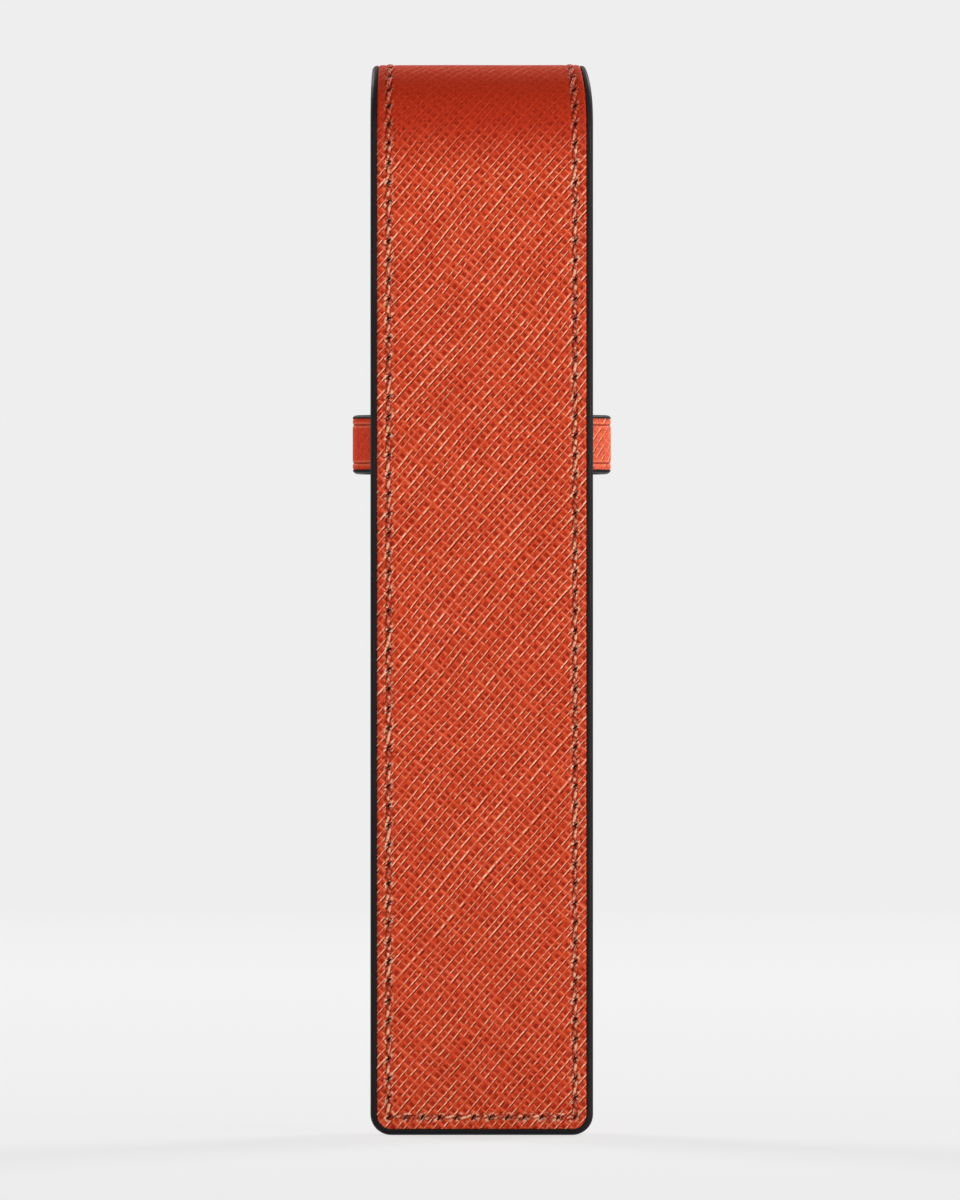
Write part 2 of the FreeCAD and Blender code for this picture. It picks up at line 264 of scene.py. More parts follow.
def parts_of(tree, vector):
    """The three parts of a vector."""
    return add_node(tree, "ShaderNodeSeparateXYZ", {}, {0: vector}).outputs


def object_place(tree):
    """Places in the piece's own space."""
    return add_node(tree, "ShaderNodeTexCoord", {}, {}).outputs["Object"]


def grain_place(tree):
    """Places on the piece's own UV map, with their two parts."""
    uv = add_node(tree, "ShaderNodeUVMap", {"uv_map": "grain"}, {}).outputs[0]
    parts = parts_of(tree, uv)
    return uv, parts["X"], parts["Y"]


def coloured(tree, shader, tone):
    """Lead a colour into the shader."""
    tree.links.new(tone, shader.inputs["Base Color"])


def roughened(tree, shader, pattern, smoothest, roughest):
    """Let the shader's roughness follow a noise pattern."""
    tree.links.new(ramp(tree, pattern, 0.3, 0.7, smoothest, roughest), shader.inputs["Roughness"])


def glossed(shader, gloss):
    """Set how strongly the surface reflects."""
    shader.inputs["Specular IOR Level"].default_value = gloss


# The leather's grain, in millimetres on the piece's own UV map
HATCH_SLOPE = math.radians(49.5)
RISING_PITCH = 1.08
RISING_SEED = 3.0
FALLING_PITCH = 1.10
FALLING_SEED = 11.0
UNEVEN_SCALE = 0.45
UNEVEN_REACH = 0.8
LINE_SHUFFLE = 7.31
LINE_BREAK_SCALE = 0.85
WANDERINGS = ((0.045, 1.4), (0.4, 0.14), (1.7, 0.08))
PATCH_SCALE = 0.16
FINE_SCALE = 3.2
GLINT_SCALE = 1.8
LINE_STRENGTHS = (0.36, 0.61, 0.14, 1.0)
PATCH_EDGES = (0.34, 0.64)
FINE_EDGES = (0.62, 0.40)
FINE_SHARE = 0.38
CROSS_HIGHLIGHT_SHARE = 0.75
SHEET_PIT_SHADE_SHARE = 0.85
SHEET_GLOSS = 0.05
HATCH_DEPTH = 0.12 * MM

# Pressed lines, each with its middle and half width, and the hollows between, as shares of the pitch
RISING_GROOVE_SHARES = (0.0, 0.20)
FALLING_GROOVE_SHARES = (0.0, 0.19)
# Painted highlight and painted shade on the two flanks of each rising line, and a faint painted highlight
# beside each falling line
LIT_LINE_SHARES = (0.08, 0.125)
SHADE_LINE_SHARES = (-0.085, 0.14)
CROSS_HIGHLIGHT_SHARES = (0.06, 0.12)
CROSSING_SHARES = (0.0, 0.24)
PIT_MIDDLE_SHARES = (0.46, 0.5)
PIT_EDGE_SHARES = (0.13, 0.36)

# The fold, in millimetres: its crest, and how far from there the lines, the painted highlight and shade and
# the relief come and go; the crest gets a painted highlight
CREST = (FOLD_START + FOLD_END) / 2 / MM
LIT_AND_CRISP_REACH = (14.0, 23.5)
RELIEF_REACH = (7.5, 17.0)
CREST_REACH = (8.0, 3.0)
CREST_HIGHLIGHT_SHARE = 0.45
SMOOTH_RELIEF_SHARE = 0.35

# The slits of the seam, in millimetres, with painted shade in the slits and the groove and painted glints on
# the lips
SLIT_SLANT = 0.7
SLIT_EDGES = (0.24, 0.06)
SLIT_REACH = (0.50, 0.20)
LIP_EDGES = (0.85, 0.40)
LIP_REACH = (0.9, 0.35)
GROOVE_SHADE_REACH = (0.50, 0.15)
SEAM_ENDS = (-0.7, -0.3)
GLINT_EDGES = (0.46, 0.58)
GLINT_SHARE = 0.9
GROOVE_SHADE_SHARE = 0.3

# The loop's strap: its end paled by a painted highlight, in millimetres from the root, and its creases with
# painted shade in them and painted highlight beside them
LIT_END_REACH = (10.0, 5.0)
LIT_END_LINE_SHARE = 0.6
STRAP_LINE_SHARE = 0.08
STRAP_PIT_SHADE_SHARE = 0.20
STRAP_GLOSS = 0.08
CREASE_SHADE_REACH = (0.22, 0.05)
LIFTED_HIGHLIGHT_REACH = (0.55, 0.25)
CREASE_SHADE_SHARE = 0.8
LIFTED_HIGHLIGHT_SHARE = 0.35

# Colours of the leather and its marks, and of the painted highlights and painted shade on them
CORAL = (0.68, 0.064, 0.019, 1.0)
BRIGHT_CORAL = (0.74, 0.078, 0.025, 1.0)
DARK_GRAIN_AND_SHADE_CORAL = (0.26, 0.012, 0.004, 1.0)
HIGHLIGHT_CORAL = (1.0, 0.55, 0.35, 1.0)
FAINT_HIGHLIGHT_CORAL = (0.90, 0.24, 0.120, 1.0)
SHADE_CORAL = (0.17, 0.007, 0.002, 1.0)
SMOOTH_AND_SHADED_CORAL = (0.51, 0.036, 0.011, 1.0)
FULL_CORAL = (0.70, 0.050, 0.014, 1.0)
LIT_END_CORAL = (0.78, 0.125, 0.058, 1.0)
GROOVE_SHADE_BROWN = (0.12, 0.008, 0.003, 1.0)
SLIT_SHADE_BROWN = (0.060, 0.005, 0.002, 1.0)

# Paint, lining and board: colours, noise per metre and depth of the grain
PAINT_BLACK = (0.006, 0.006, 0.007, 1.0)
PAINT_GREY = (0.013, 0.013, 0.015, 1.0)
PAINT_SCALE = 900.0
PAINT_BROAD_SCALE = 160.0
PAINT_DEPTH = 0.05 * MM
PAINT_GLOSS = 0.08
LINING_BLACK = (0.009, 0.008, 0.008, 1.0)
LINING_GREY = (0.024, 0.021, 0.021, 1.0)
PORE_SCALE = 1100.0
WRINKLE_SCALE = 340.0
LINING_DEPTH = 0.06 * MM
BOARD_BROWN = (0.10, 0.055, 0.030, 1.0)
BOARD_TAN = (0.30, 0.19, 0.11, 1.0)
FIBRE_SCALE = 1500.0
BOARD_DEPTH = 0.08 * MM

# Thread: its strands with painted shade between them, its crown with painted highlights, as shares of a turn,
# and its ends with painted shade, in millimetres from its middle
STRANDS = 2.0
STRANDS_PER_MM = 1.3
STRAND_EDGES = (0.05, 0.32)
CROWN_REACH = (0.16, 0.02)
CROWN_HIGHLIGHT_SCALE = 1300.0
CROWN_HIGHLIGHT_EDGES = (0.47, 0.59)
THREAD_ENDS = (1.08, 1.42)
FUZZ_SCALE = 7.0
THREAD_DEPTH = 0.10 * MM
THREAD_GLOSS = 0.15
THREAD_STRAND_SHADE = (0.20, 0.016, 0.006, 1.0)
THREAD_CORAL = (0.55, 0.080, 0.034, 1.0)
THREAD_HIGHLIGHT = (0.88, 0.42, 0.25, 1.0)
THREAD_END_SHADE = (0.05, 0.005, 0.002, 1.0)


def hatch(tree, across, along, pitch, seed):
    """One family of pressed lines: a count of lines that grows unevenly across, and how strong each is."""
    uneven = add_node(
        tree,
        "ShaderNodeTexNoise",
        {"noise_dimensions": "1D"},
        {"W": maths(tree, "MULTIPLY_ADD", across, UNEVEN_SCALE, seed), "Scale": 1.0, "Detail": 1.0},
    )
    spaced = maths(tree, "MULTIPLY_ADD", uneven.outputs[0], UNEVEN_REACH, across)
    line = maths(tree, "DIVIDE", spaced, pitch)
    nearest = maths(tree, "ROUND", line)
    shuffled = times(tree, nearest, LINE_SHUFFLE)
    stretch = combined(tree, shuffled, times(tree, along, LINE_BREAK_SCALE), seed)
    strength = ramp(tree, speckle(tree, stretch, 1.0, 1.5), *LINE_STRENGTHS)
    return line, strength


def pressed(tree, between, shift, width):
    """A pressed line at a place between 0 and 1 of its pitch, 1 in its middle."""
    moved = maths(tree, "FRACT", maths(tree, "ADD", between, 0.5 - shift))
    away = apart(tree, moved, 0.5)
    return ramp(tree, away, 0.0, width, 1.0, 0.0)


def shaken(tree, place, scale, reach):
    """Places moved about by slow noise, so that lines ruled on them wander."""
    drift = add_node(tree, "ShaderNodeTexNoise", {}, {"Vector": place, "Scale": scale, "Detail": 1.0})
    moved = add_node(
        tree,
        "ShaderNodeVectorMath",
        {"operation": "MULTIPLY_ADD"},
        {0: drift.outputs["Color"], 1: (reach, reach, 0.0), 2: place},
    )
    return moved.outputs[0]


def slits(tree, beside, along, length, pitch):
    """Slanting slits of a seam: how open the leather is, its puckered lips, and the groove along the seam,
    which carries only painted shade.
    """
    step = maths(tree, "FRACT", maths(tree, "ADD", maths(tree, "DIVIDE", along, pitch), 0.5))
    from_slit = times(tree, maths(tree, "SUBTRACT", step, 0.5), pitch)
    away = maths(tree, "ABSOLUTE", maths(tree, "MULTIPLY_ADD", beside, -SLIT_SLANT, from_slit))
    from_seam = maths(tree, "ABSOLUTE", beside)
    inside = maths(tree, "MINIMUM", along, maths(tree, "SUBTRACT", length, along))
    sewn = ramp(tree, inside, *SEAM_ENDS)
    opened = times(tree, ramp(tree, away, *SLIT_EDGES), ramp(tree, from_seam, *SLIT_REACH))
    lips = times(tree, ramp(tree, away, *LIP_EDGES), ramp(tree, from_seam, *LIP_REACH))
    groove = ramp(tree, from_seam, *GROOVE_SHADE_REACH)
    return [times(tree, mark, sewn) for mark in (opened, lips, groove)]


def seam_marks(tree, u, v):
    """Slits, lips and grooves of the side seams and of the seams across the foot and the tip."""
    side = SEAM_SIDE / MM
    outside = maths(tree, "SUBTRACT", maths(tree, "ABSOLUTE", u), side)
    beside = times(tree, outside, maths(tree, "SIGN", u))
    up = maths(tree, "SUBTRACT", v, SEAM_FOOT / MM)
    marks = slits(tree, beside, up, (SEAM_TIP - SEAM_FOOT) / MM, STITCH / MM)
    for end in (SEAM_FOOT, SEAM_TIP):
        beyond = maths(tree, "SUBTRACT", v, end / MM)
        more = slits(tree, beyond, maths(tree, "ADD", u, side), 2 * side, FOOT_STITCH / MM)
        marks = [maths(tree, "MAXIMUM", mark, another) for mark, another in zip(marks, more)]
    return marks


def strap_creases(tree, v):
    """Creases that run along both edges of the strap, for painted shade, and the leather that lifts beside
    them, for a painted highlight.
    """
    from_low = maths(tree, "SUBTRACT", v, loop_low.z / MM)
    from_high = maths(tree, "SUBTRACT", loop_high.z / MM, v)
    inset = maths(tree, "MINIMUM", from_low, from_high)
    away = apart(tree, inset, LOOP_CREASE_INSET / MM)
    return ramp(tree, away, *CREASE_SHADE_REACH), ramp(tree, away, *LIFTED_HIGHLIGHT_REACH)


def lattice(tree, uv):
    """The two families of lines: place between two lines and strength of each, and a chance for each cell."""
    wandering = uv
    for scale, reach in WANDERINGS:
        wandering = shaken(tree, wandering, scale, reach)
    turned = add_node(
        tree,
        "ShaderNodeVectorRotate",
        {"rotation_type": "Z_AXIS"},
        {"Vector": wandering, "Angle": -HATCH_SLOPE},
    )
    axes = parts_of(tree, turned.outputs[0])
    along = axes["X"]
    across = axes["Y"]
    rising, rising_strength = hatch(tree, across, along, RISING_PITCH, RISING_SEED)
    falling, falling_strength = hatch(tree, along, across, FALLING_PITCH, FALLING_SEED)
    cell = combined(tree, maths(tree, "FLOOR", rising), maths(tree, "FLOOR", falling))
    chance = add_node(tree, "ShaderNodeTexWhiteNoise", {}, {"Vector": cell}).outputs["Value"]
    rising = maths(tree, "FRACT", rising)
    falling = maths(tree, "FRACT", falling)
    return rising, rising_strength, falling, falling_strength, chance


def pits(tree, rising, falling, chance):
    """Square hollows between the lines, some deeper than others."""
    middles = zip((rising, falling), PIT_MIDDLE_SHARES)
    away = [apart(tree, place, middle) for place, middle in middles]
    square = ramp(tree, maths(tree, "MAXIMUM", *away), *PIT_EDGE_SHARES, 1.0, 0.0)
    return times(tree, square, ramp(tree, chance, 0.0, 0.9, 0.55, 1.0))


def hatch_marks(tree, uv, relief):
    """Marks pressed into the leather, by name, with painted highlight and painted shade on the flanks of its
    lines, and the height that the pressed marks add up to.
    """
    rising, rising_strength, falling, falling_strength, chance = lattice(tree, uv)
    patches = ramp(tree, speckle(tree, uv, PATCH_SCALE), *PATCH_EDGES)
    fine = speckle(tree, uv, FINE_SCALE, 3.0, 0.6)
    pit = times(tree, pits(tree, rising, falling, chance), relief)

    rising_groove = times(tree, pressed(tree, rising, *RISING_GROOVE_SHARES), rising_strength)
    falling_groove = times(tree, pressed(tree, falling, *FALLING_GROOVE_SHARES), falling_strength)
    height = times(tree, rising_groove, -1.0)
    height = maths(tree, "MULTIPLY_ADD", falling_groove, -0.40, height)
    height = maths(tree, "MULTIPLY_ADD", pit, -0.45, times(tree, height, relief))
    height = maths(tree, "MULTIPLY_ADD", fine, 0.30, height)

    # Painted highlight on one flank of each rising line, painted shade on the other, and a faint painted
    # highlight beside each falling line
    lit = times(tree, pressed(tree, rising, *LIT_LINE_SHARES), rising_strength)
    lit = times(tree, lit, ramp(tree, patches, 0.0, 1.0, 0.75, 1.0))
    crossing = ramp(tree, pressed(tree, falling, *CROSSING_SHARES), 0.0, 1.0, 1.0, 0.4)
    lit = times(tree, lit, crossing)
    shade = times(tree, pressed(tree, rising, *SHADE_LINE_SHARES), rising_strength)
    cross = times(tree, pressed(tree, falling, *CROSS_HIGHLIGHT_SHARES), falling_strength)
    return {
        "patches": patches,
        "fine": fine,
        "pit": pit,
        "lit": lit,
        "shade": shade,
        "cross": cross,
        "height": height,
    }


def hatched_tone(tree, tone, marks, drawn, pit_shade_share):
    """A leather's colour with its grain, painted shade in its hollows, and painted highlight and shade beside
    its lines, whose strength is given.
    """
    grain = times(tree, ramp(tree, marks["fine"], *FINE_EDGES), FINE_SHARE)
    tone = tint(tree, grain, tone, DARK_GRAIN_AND_SHADE_CORAL)
    # Painted shade in the hollows between the lines
    tone = tint(tree, times(tree, marks["pit"], pit_shade_share), tone, DARK_GRAIN_AND_SHADE_CORAL)
    # Faint painted highlight beside the falling lines, then painted shade and painted highlight beside the
    # rising lines
    crossed = times(tree, marks["cross"], times(tree, drawn, CROSS_HIGHLIGHT_SHARE))
    tone = tint(tree, crossed, tone, FAINT_HIGHLIGHT_CORAL)
    tone = tint(tree, times(tree, marks["shade"], drawn), tone, SHADE_CORAL)
    return tint(tree, times(tree, marks["lit"], drawn), tone, HIGHLIGHT_CORAL)


def leather_surface(tree, shader, tone, height, fine, gloss):
    """Lead the leather's colour, height and fine grain into its shader."""
    bumped(tree, shader, height, 1.0, HATCH_DEPTH)
    coloured(tree, shader, tone)
    roughened(tree, shader, fine, 0.50, 0.64)
    glossed(shader, gloss)


def cross_hatched_leather():
    """Coral leather pressed with slanting lines that cross, with painted highlight and shade beside them,
    smoother and darker on the fold partly by painted shade, with a painted highlight on the crest, and slit
    by the seam.
    """
    finish, tree, shader = new_finish("coral_cross_hatched_leather")
    uv, u, v = grain_place(tree)
    from_crest = apart(tree, v, CREST)
    # Painted highlight on the crest, which also brings the lines back there
    crest_highlight = ramp(tree, from_crest, *CREST_REACH, 0.0, CREST_HIGHLIGHT_SHARE)
    lit_and_crisp = maths(tree, "MAXIMUM", ramp(tree, from_crest, *LIT_AND_CRISP_REACH), crest_highlight)
    marks = hatch_marks(tree, uv, ramp(tree, from_crest, *RELIEF_REACH, SMOOTH_RELIEF_SHARE, 1.0))
    # Darker and smoother over the fold, partly painted shade
    tone = tint(tree, lit_and_crisp, SMOOTH_AND_SHADED_CORAL, tint(tree, marks["patches"], CORAL, BRIGHT_CORAL))
    tone = hatched_tone(tree, tone, marks, lit_and_crisp, SHEET_PIT_SHADE_SHARE)

    opened, lips, groove = seam_marks(tree, u, v)
    # Painted glints on the puckered lips of the slits
    glint = times(tree, lips, ramp(tree, speckle(tree, uv, GLINT_SCALE), *GLINT_EDGES))
    glint = times(tree, glint, ramp(tree, lit_and_crisp, 0.0, 1.0, 0.35, 1.0))
    tone = tint(tree, times(tree, glint, GLINT_SHARE), tone, HIGHLIGHT_CORAL)
    # Painted shade in the seam's groove and in its slits
    tone = tint(tree, times(tree, groove, GROOVE_SHADE_SHARE), tone, GROOVE_SHADE_BROWN)
    tone = tint(tree, opened, tone, SLIT_SHADE_BROWN)
    height = maths(tree, "MULTIPLY_ADD", lips, 0.8, marks["height"])
    height = maths(tree, "MULTIPLY_ADD", opened, -2.5, height)
    leather_surface(tree, shader, tone, height, marks["fine"], SHEET_GLOSS)
    return finish


def strap_leather():
    """Coral leather of the loop, with faint lines, paler at one end by a painted highlight, and creased along
    both edges with painted shade in the creases.
    """
    finish, tree, shader = new_finish("coral_strap_leather")
    uv, u, v = grain_place(tree)
    marks = hatch_marks(tree, uv, 1.0)
    # Painted highlight that pales one end of the strap and draws its lines more strongly there
    painted_highlight = ramp(tree, u, *LIT_END_REACH)
    drawn = maths(tree, "MULTIPLY_ADD", painted_highlight, LIT_END_LINE_SHARE, STRAP_LINE_SHARE)
    tone = tint(tree, painted_highlight, FULL_CORAL, LIT_END_CORAL)
    tone = hatched_tone(tree, tone, marks, drawn, STRAP_PIT_SHADE_SHARE)
    crease, lifted_highlight = strap_creases(tree, v)
    # Painted highlight beside each crease and painted shade in it
    tone = tint(tree, times(tree, lifted_highlight, LIFTED_HIGHLIGHT_SHARE), tone, FAINT_HIGHLIGHT_CORAL)
    tone = tint(tree, times(tree, crease, CREASE_SHADE_SHARE), tone, DARK_GRAIN_AND_SHADE_CORAL)
    leather_surface(tree, shader, tone, marks["height"], marks["fine"], STRAP_GLOSS)
    return finish


def black_edge_paint():
    """Black flexible paint with a satin skin, a little uneven."""
    finish, tree, shader = new_finish("black_edge_paint")
    place = object_place(tree)
    uneven = speckle(tree, place, PAINT_SCALE, 3.0)
    broad = speckle(tree, place, PAINT_BROAD_SCALE)
    coloured(tree, shader, tint(tree, broad, PAINT_BLACK, PAINT_GREY))
    roughened(tree, shader, broad, 0.40, 0.55)
    bumped(tree, shader, maths(tree, "MULTIPLY_ADD", broad, 1.5, uneven), 0.35, PAINT_DEPTH)
    glossed(shader, PAINT_GLOSS)
    return finish


def black_lining_leather():
    """Smooth black leather with fine pores and soft wrinkles."""
    finish, tree, shader = new_finish("black_lining_leather")
    place = object_place(tree)
    pores = add_node(
        tree,
        "ShaderNodeTexVoronoi",
        {"feature": "DISTANCE_TO_EDGE"},
        {"Vector": place, "Scale": PORE_SCALE},
    ).outputs["Distance"]
    wrinkle = speckle(tree, place, WRINKLE_SCALE, 4.0, 0.6)
    grain = maths(tree, "MULTIPLY_ADD", wrinkle, 0.8, ramp(tree, pores, 0.0, 0.25))
    coloured(tree, shader, tint(tree, wrinkle, LINING_BLACK, LINING_GREY))
    roughened(tree, shader, wrinkle, 0.42, 0.60)
    bumped(tree, shader, grain, 0.5, LINING_DEPTH)
    return finish


def bonded_board():
    """Pressed leather fibre, seen only in a cut edge."""
    finish, tree, shader = new_finish("bonded_leather_board")
    fibre = speckle(tree, object_place(tree), FIBRE_SCALE, 5.0, 0.7)
    coloured(tree, shader, tint(tree, fibre, BOARD_BROWN, BOARD_TAN))
    roughened(tree, shader, fibre, 0.75, 0.92)
    bumped(tree, shader, fibre, 0.6, BOARD_DEPTH)
    return finish


def twisted_thread(name, highlight_share):
    """Thread in the leather's colour, wound in strands along its UV map, with painted shade between the
    strands, painted highlights on its crown, and painted shade where its ends dive in.
    """
    finish, tree, shader = new_finish(name)
    uv, around, along = grain_place(tree)
    wound = maths(tree, "MULTIPLY_ADD", along, STRANDS_PER_MM, times(tree, around, STRANDS))
    strand = ramp(tree, maths(tree, "PINGPONG", wound, 0.5), *STRAND_EDGES)
    fuzz = speckle(tree, uv, FUZZ_SCALE, 3.0)
    painted_highlight = speckle(tree, object_place(tree), CROWN_HIGHLIGHT_SCALE, 1.0)
    # Painted shade between the strands
    tone = tint(tree, strand, THREAD_STRAND_SHADE, THREAD_CORAL)
    # Painted highlights in scattered spots on the thread's crown
    crown = ramp(tree, maths(tree, "ABSOLUTE", around), *CROWN_REACH)
    crown_highlight = times(tree, crown, ramp(tree, painted_highlight, *CROWN_HIGHLIGHT_EDGES, 0.0, highlight_share))
    tone = tint(tree, crown_highlight, tone, THREAD_HIGHLIGHT)
    # Painted shade where the ends dive into the slits
    ends = ramp(tree, maths(tree, "ABSOLUTE", along), *THREAD_ENDS)
    tone = tint(tree, ends, tone, THREAD_END_SHADE)
    coloured(tree, shader, tone)
    roughened(tree, shader, fuzz, 0.40, 0.60)
    bumped(tree, shader, maths(tree, "MULTIPLY_ADD", fuzz, 0.3, strand), 0.8, THREAD_DEPTH)
    glossed(shader, THREAD_GLOSS)
    return finish


def frame_of(origin, outward, axis, heading):
    """A frame for sweeping: its first two directions carry the profile, the third is the way it goes."""
    matrix = Matrix.Identity(4)
    for column, vector in enumerate((outward, axis, heading, origin)):
        for row in range(3):
            matrix[row][column] = vector[row]
    return matrix


def run(start, length):
    """The frame straight on from another."""
    return start @ Matrix.Translation((0, 0, length))


def turn(start, radius, angle):
    """The frame after a bend about an axis that lies a radius away along the first direction."""
    to_axis = Matrix.Translation((radius, 0, 0))
    bend = Matrix.Rotation(math.copysign(angle, radius), 4, "Y")
    return start @ to_axis @ bend @ to_axis.inverted()


BACK_FRAME = frame_of((0, BACK_FACE, 0), (0, 1, 0), (1, 0, 0), (0, 0, 1))


def strip_frame(length):
    """Frame on the strip's outer face: inwards, across to the right, and on along the strip."""
    if length <= FOLD_START:
        return run(BACK_FRAME, length)
    fold = run(BACK_FRAME, FOLD_START)
    if length <= FOLD_END:
        return turn(fold, FOLD_RADIUS, (length - FOLD_START) / FOLD_RADIUS)
    return run(turn(fold, FOLD_RADIUS, math.pi), length - FOLD_END)


NOTES = ("inward", "across", "along", "plane")


def new_mesh():
    """A bmesh whose vertices note their place in the profile, their length along it and their plane."""
    bm = bmesh.new()
    for name in NOTES:
        bm.verts.layers.float.new(name)
    return bm


def notes_of(bm, *names):
    """The layers that hold these notes."""
    return [bm.verts.layers.float[name] for name in names]


def wire(bm, points):
    """A closed profile of edges in the plane of the first two directions."""
    verts = [bm.verts.new((first, second, 0)) for first, second in points]
    return [bm.edges.new(pair) for pair in zip(verts, verts[1:] + verts[:1])]


def sweep(bm, edges, frames, lengths):
    """Carry a closed profile from frame to frame and close both ends."""
    inward, across, along = notes_of(bm, "inward", "across", "along")
    verts = list({vert for edge in edges for vert in edge.verts})
    for vert in verts:
        vert[inward] = vert.co.x
        vert[across] = vert.co.y
        vert[along] = lengths[0]
    bmesh.ops.transform(bm, matrix=frames[0], verts=verts)
    bmesh.ops.edgeloop_fill(bm, edges=edges)
    for before, after, length in zip(frames, frames[1:], lengths[1:]):
        grown = bmesh.ops.extrude_edge_only(bm, edges=edges)["geom"]
        verts = [part for part in grown if isinstance(part, bmesh.types.BMVert)]
        edges = [part for part in grown if isinstance(part, bmesh.types.BMEdge)]
        bmesh.ops.transform(bm, matrix=after @ before.inverted(), verts=verts)
        for vert in verts:
            vert[along] = length
    bmesh.ops.edgeloop_fill(bm, edges=edges)


def lay_grain(bm, first, second):
    """UV map in millimetres from two of the noted lengths."""
    grain = bm.loops.layers.uv.new("grain")
    u, v = notes_of(bm, first, second)
    for face in bm.faces:
        for loop in face.loops:
            loop[grain].uv = (loop.vert[u] / MM, loop.vert[v] / MM)


def add_piece(bm, name, finish, slot, nodes, bodies, start=None, end=None):
    """Make a piece that stands for CAD nodes and rides on one body or bends between two."""
    bmesh.ops.recalc_face_normals(bm, faces=bm.faces[:])
    for face in bm.faces:
        face.smooth = True
    for edge in bm.edges:
        edge.smooth = edge.calc_face_angle(0.0) < SHARP_ANGLE
    for note in NOTES:
        if note in bm.verts.layers.float:
            bm.verts.layers.float.remove(bm.verts.layers.float[note])
    mesh = bpy.data.meshes.new(name)
    bm.to_mesh(mesh)
    bm.free()
    mesh.materials.append(finish)
    piece = bpy.data.objects.new(name, mesh)
    bpy.context.scene.collection.objects.link(piece)
    if nodes:
        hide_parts(*nodes)
    if len(bodies) == 1:
        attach(piece, bodies[0])
    else:
        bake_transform(piece, bodies[0], bodies[1], start, end)


def fold_draw(x, length):
    """How far the strip's sides draw in over the fold."""
    if not FOLD_START < length < FOLD_END:
        return 0.0
    lift = math.sin((length - FOLD_START) / FOLD_RADIUS) ** FOLD_LIFT_POWER
    reach = FOLD_DRAW_RIGHT if x > 0 else FOLD_DRAW_LEFT
    return -math.copysign(reach, x) * lift * abs(x / HALF_WIDTH) ** FOLD_DRAW_POWER


def corner_draw(x, length):
    """How far the strip's sides draw in at the rounded foot and tip."""
    drawn = 0.0
    for corner, away in ((FOOT_CORNER, length - FOOT), (TIP_CORNER, TIP - length)):
        if away < corner:
            drawn = corner - math.sqrt(max(0.0, corner**2 - (corner - away) ** 2))
    return -math.copysign(drawn, x) * abs(x / HALF_WIDTH) ** CORNER_DRAW_POWER


def seam_sink(x, length):
    """Depth of the leather below its face at the seam, deepest at each slit."""
    beyond = max(SEAM_FOOT - length, length - SEAM_TIP, 0.0)
    lines = [(math.hypot(abs(x) - SEAM_SIDE, beyond), (length - SEAM_FOOT) / STITCH)]
    beyond = max(abs(x) - SEAM_SIDE, 0.0)
    for end in (SEAM_FOOT, SEAM_TIP):
        lines.append((math.hypot(length - end, beyond), (x + SEAM_SIDE) / FOOT_STITCH))
    sink = 0.0
    slit = 0.0
    for away, stitch in lines:
        pucker = 1 - PUCKER_SHARE * (1 - math.cos(2 * math.pi * stitch))
        sink = max(sink, SEAM_DEPTH * pucker * math.exp(-((away / SEAM_WIDTH) ** 2)))
        if away < TINY and abs(stitch - round(stitch)) < SLIT_NEAR_SHARE:
            slit = SLIT_DEPTH
    return sink + slit


def edge_sink(x, length):
    """Depth of the leather below its face where it rolls into the painted edge."""
    away = min(HALF_WIDTH - abs(x), length - FOOT, TIP - length)
    return EDGE_DROP * math.exp(-max(away, 0.0) / EDGE_SOFT)


def swell_sink(place):
    """Slow unevenness of the leather's face."""
    return SWELL * (0.5 + 0.5 * noise.noise(place / SWELL_SIZE))


def leather_columns():
    """Places across the strip, close together at the edges and the seams."""
    inner = HALF_WIDTH - EDGE_STEPS[-1]
    step = FOOT_STITCH / ROWS_PER_STITCH
    middle = [step * count - SEAM_SIDE for count in range(FOOT_STITCHES * ROWS_PER_STITCH + 1)]
    right = [HALF_WIDTH - away for away in EDGE_STEPS]
    return [-x for x in right] + [x for x in middle if abs(x) < inner - step / 2] + right[::-1]


def strip_rows(start, end):
    """Places along the strip between two lengths, a few to each stitch and close together at the ends."""
    step = STITCH / ROWS_PER_STITCH
    rows = [FOOT + away for away in EDGE_STEPS] + [TIP - away for away in EDGE_STEPS]
    inner = [SEAM_FOOT + step * count for count in range(SIDE_STITCHES * ROWS_PER_STITCH + 1)]
    clear = EDGE_STEPS[-1] + step / 2
    rows += [row for row in inner if FOOT + clear < row < TIP - clear]
    return sorted({start, end} | {row for row in rows if start + TINY < row < end - TINY})


def shape_leather(bm, frame_at):
    """Sink the seams and edges into the leather's outer face and draw its sides in."""
    inward, across, along = notes_of(bm, "inward", "across", "along")
    for vert in bm.verts:
        x = vert[across]
        length = vert[along]
        if vert[inward] < TINY:
            sink = max(seam_sink(x, length), edge_sink(x, length)) + swell_sink(Vector((x, length, 0)))
            vert.co += frame_at(length).to_3x3() @ Vector((sink, 0, 0))
        vert[across] = x + corner_draw(x, length)
        vert.co.x = vert[across] + fold_draw(x, length)


def leather_sheet(start, end):
    """Leather of the strip between two lengths."""
    bm = new_mesh()
    columns = leather_columns()
    points = [(0, x) for x in columns] + [(LEATHER, HALF_WIDTH), (LEATHER, -HALF_WIDTH)]
    edges = wire(bm, points)
    rows = strip_rows(start, end)
    sweep(bm, edges, [strip_frame(row) for row in rows], rows)
    shape_leather(bm, strip_frame)
    lay_grain(bm, "across", "along")
    return bm


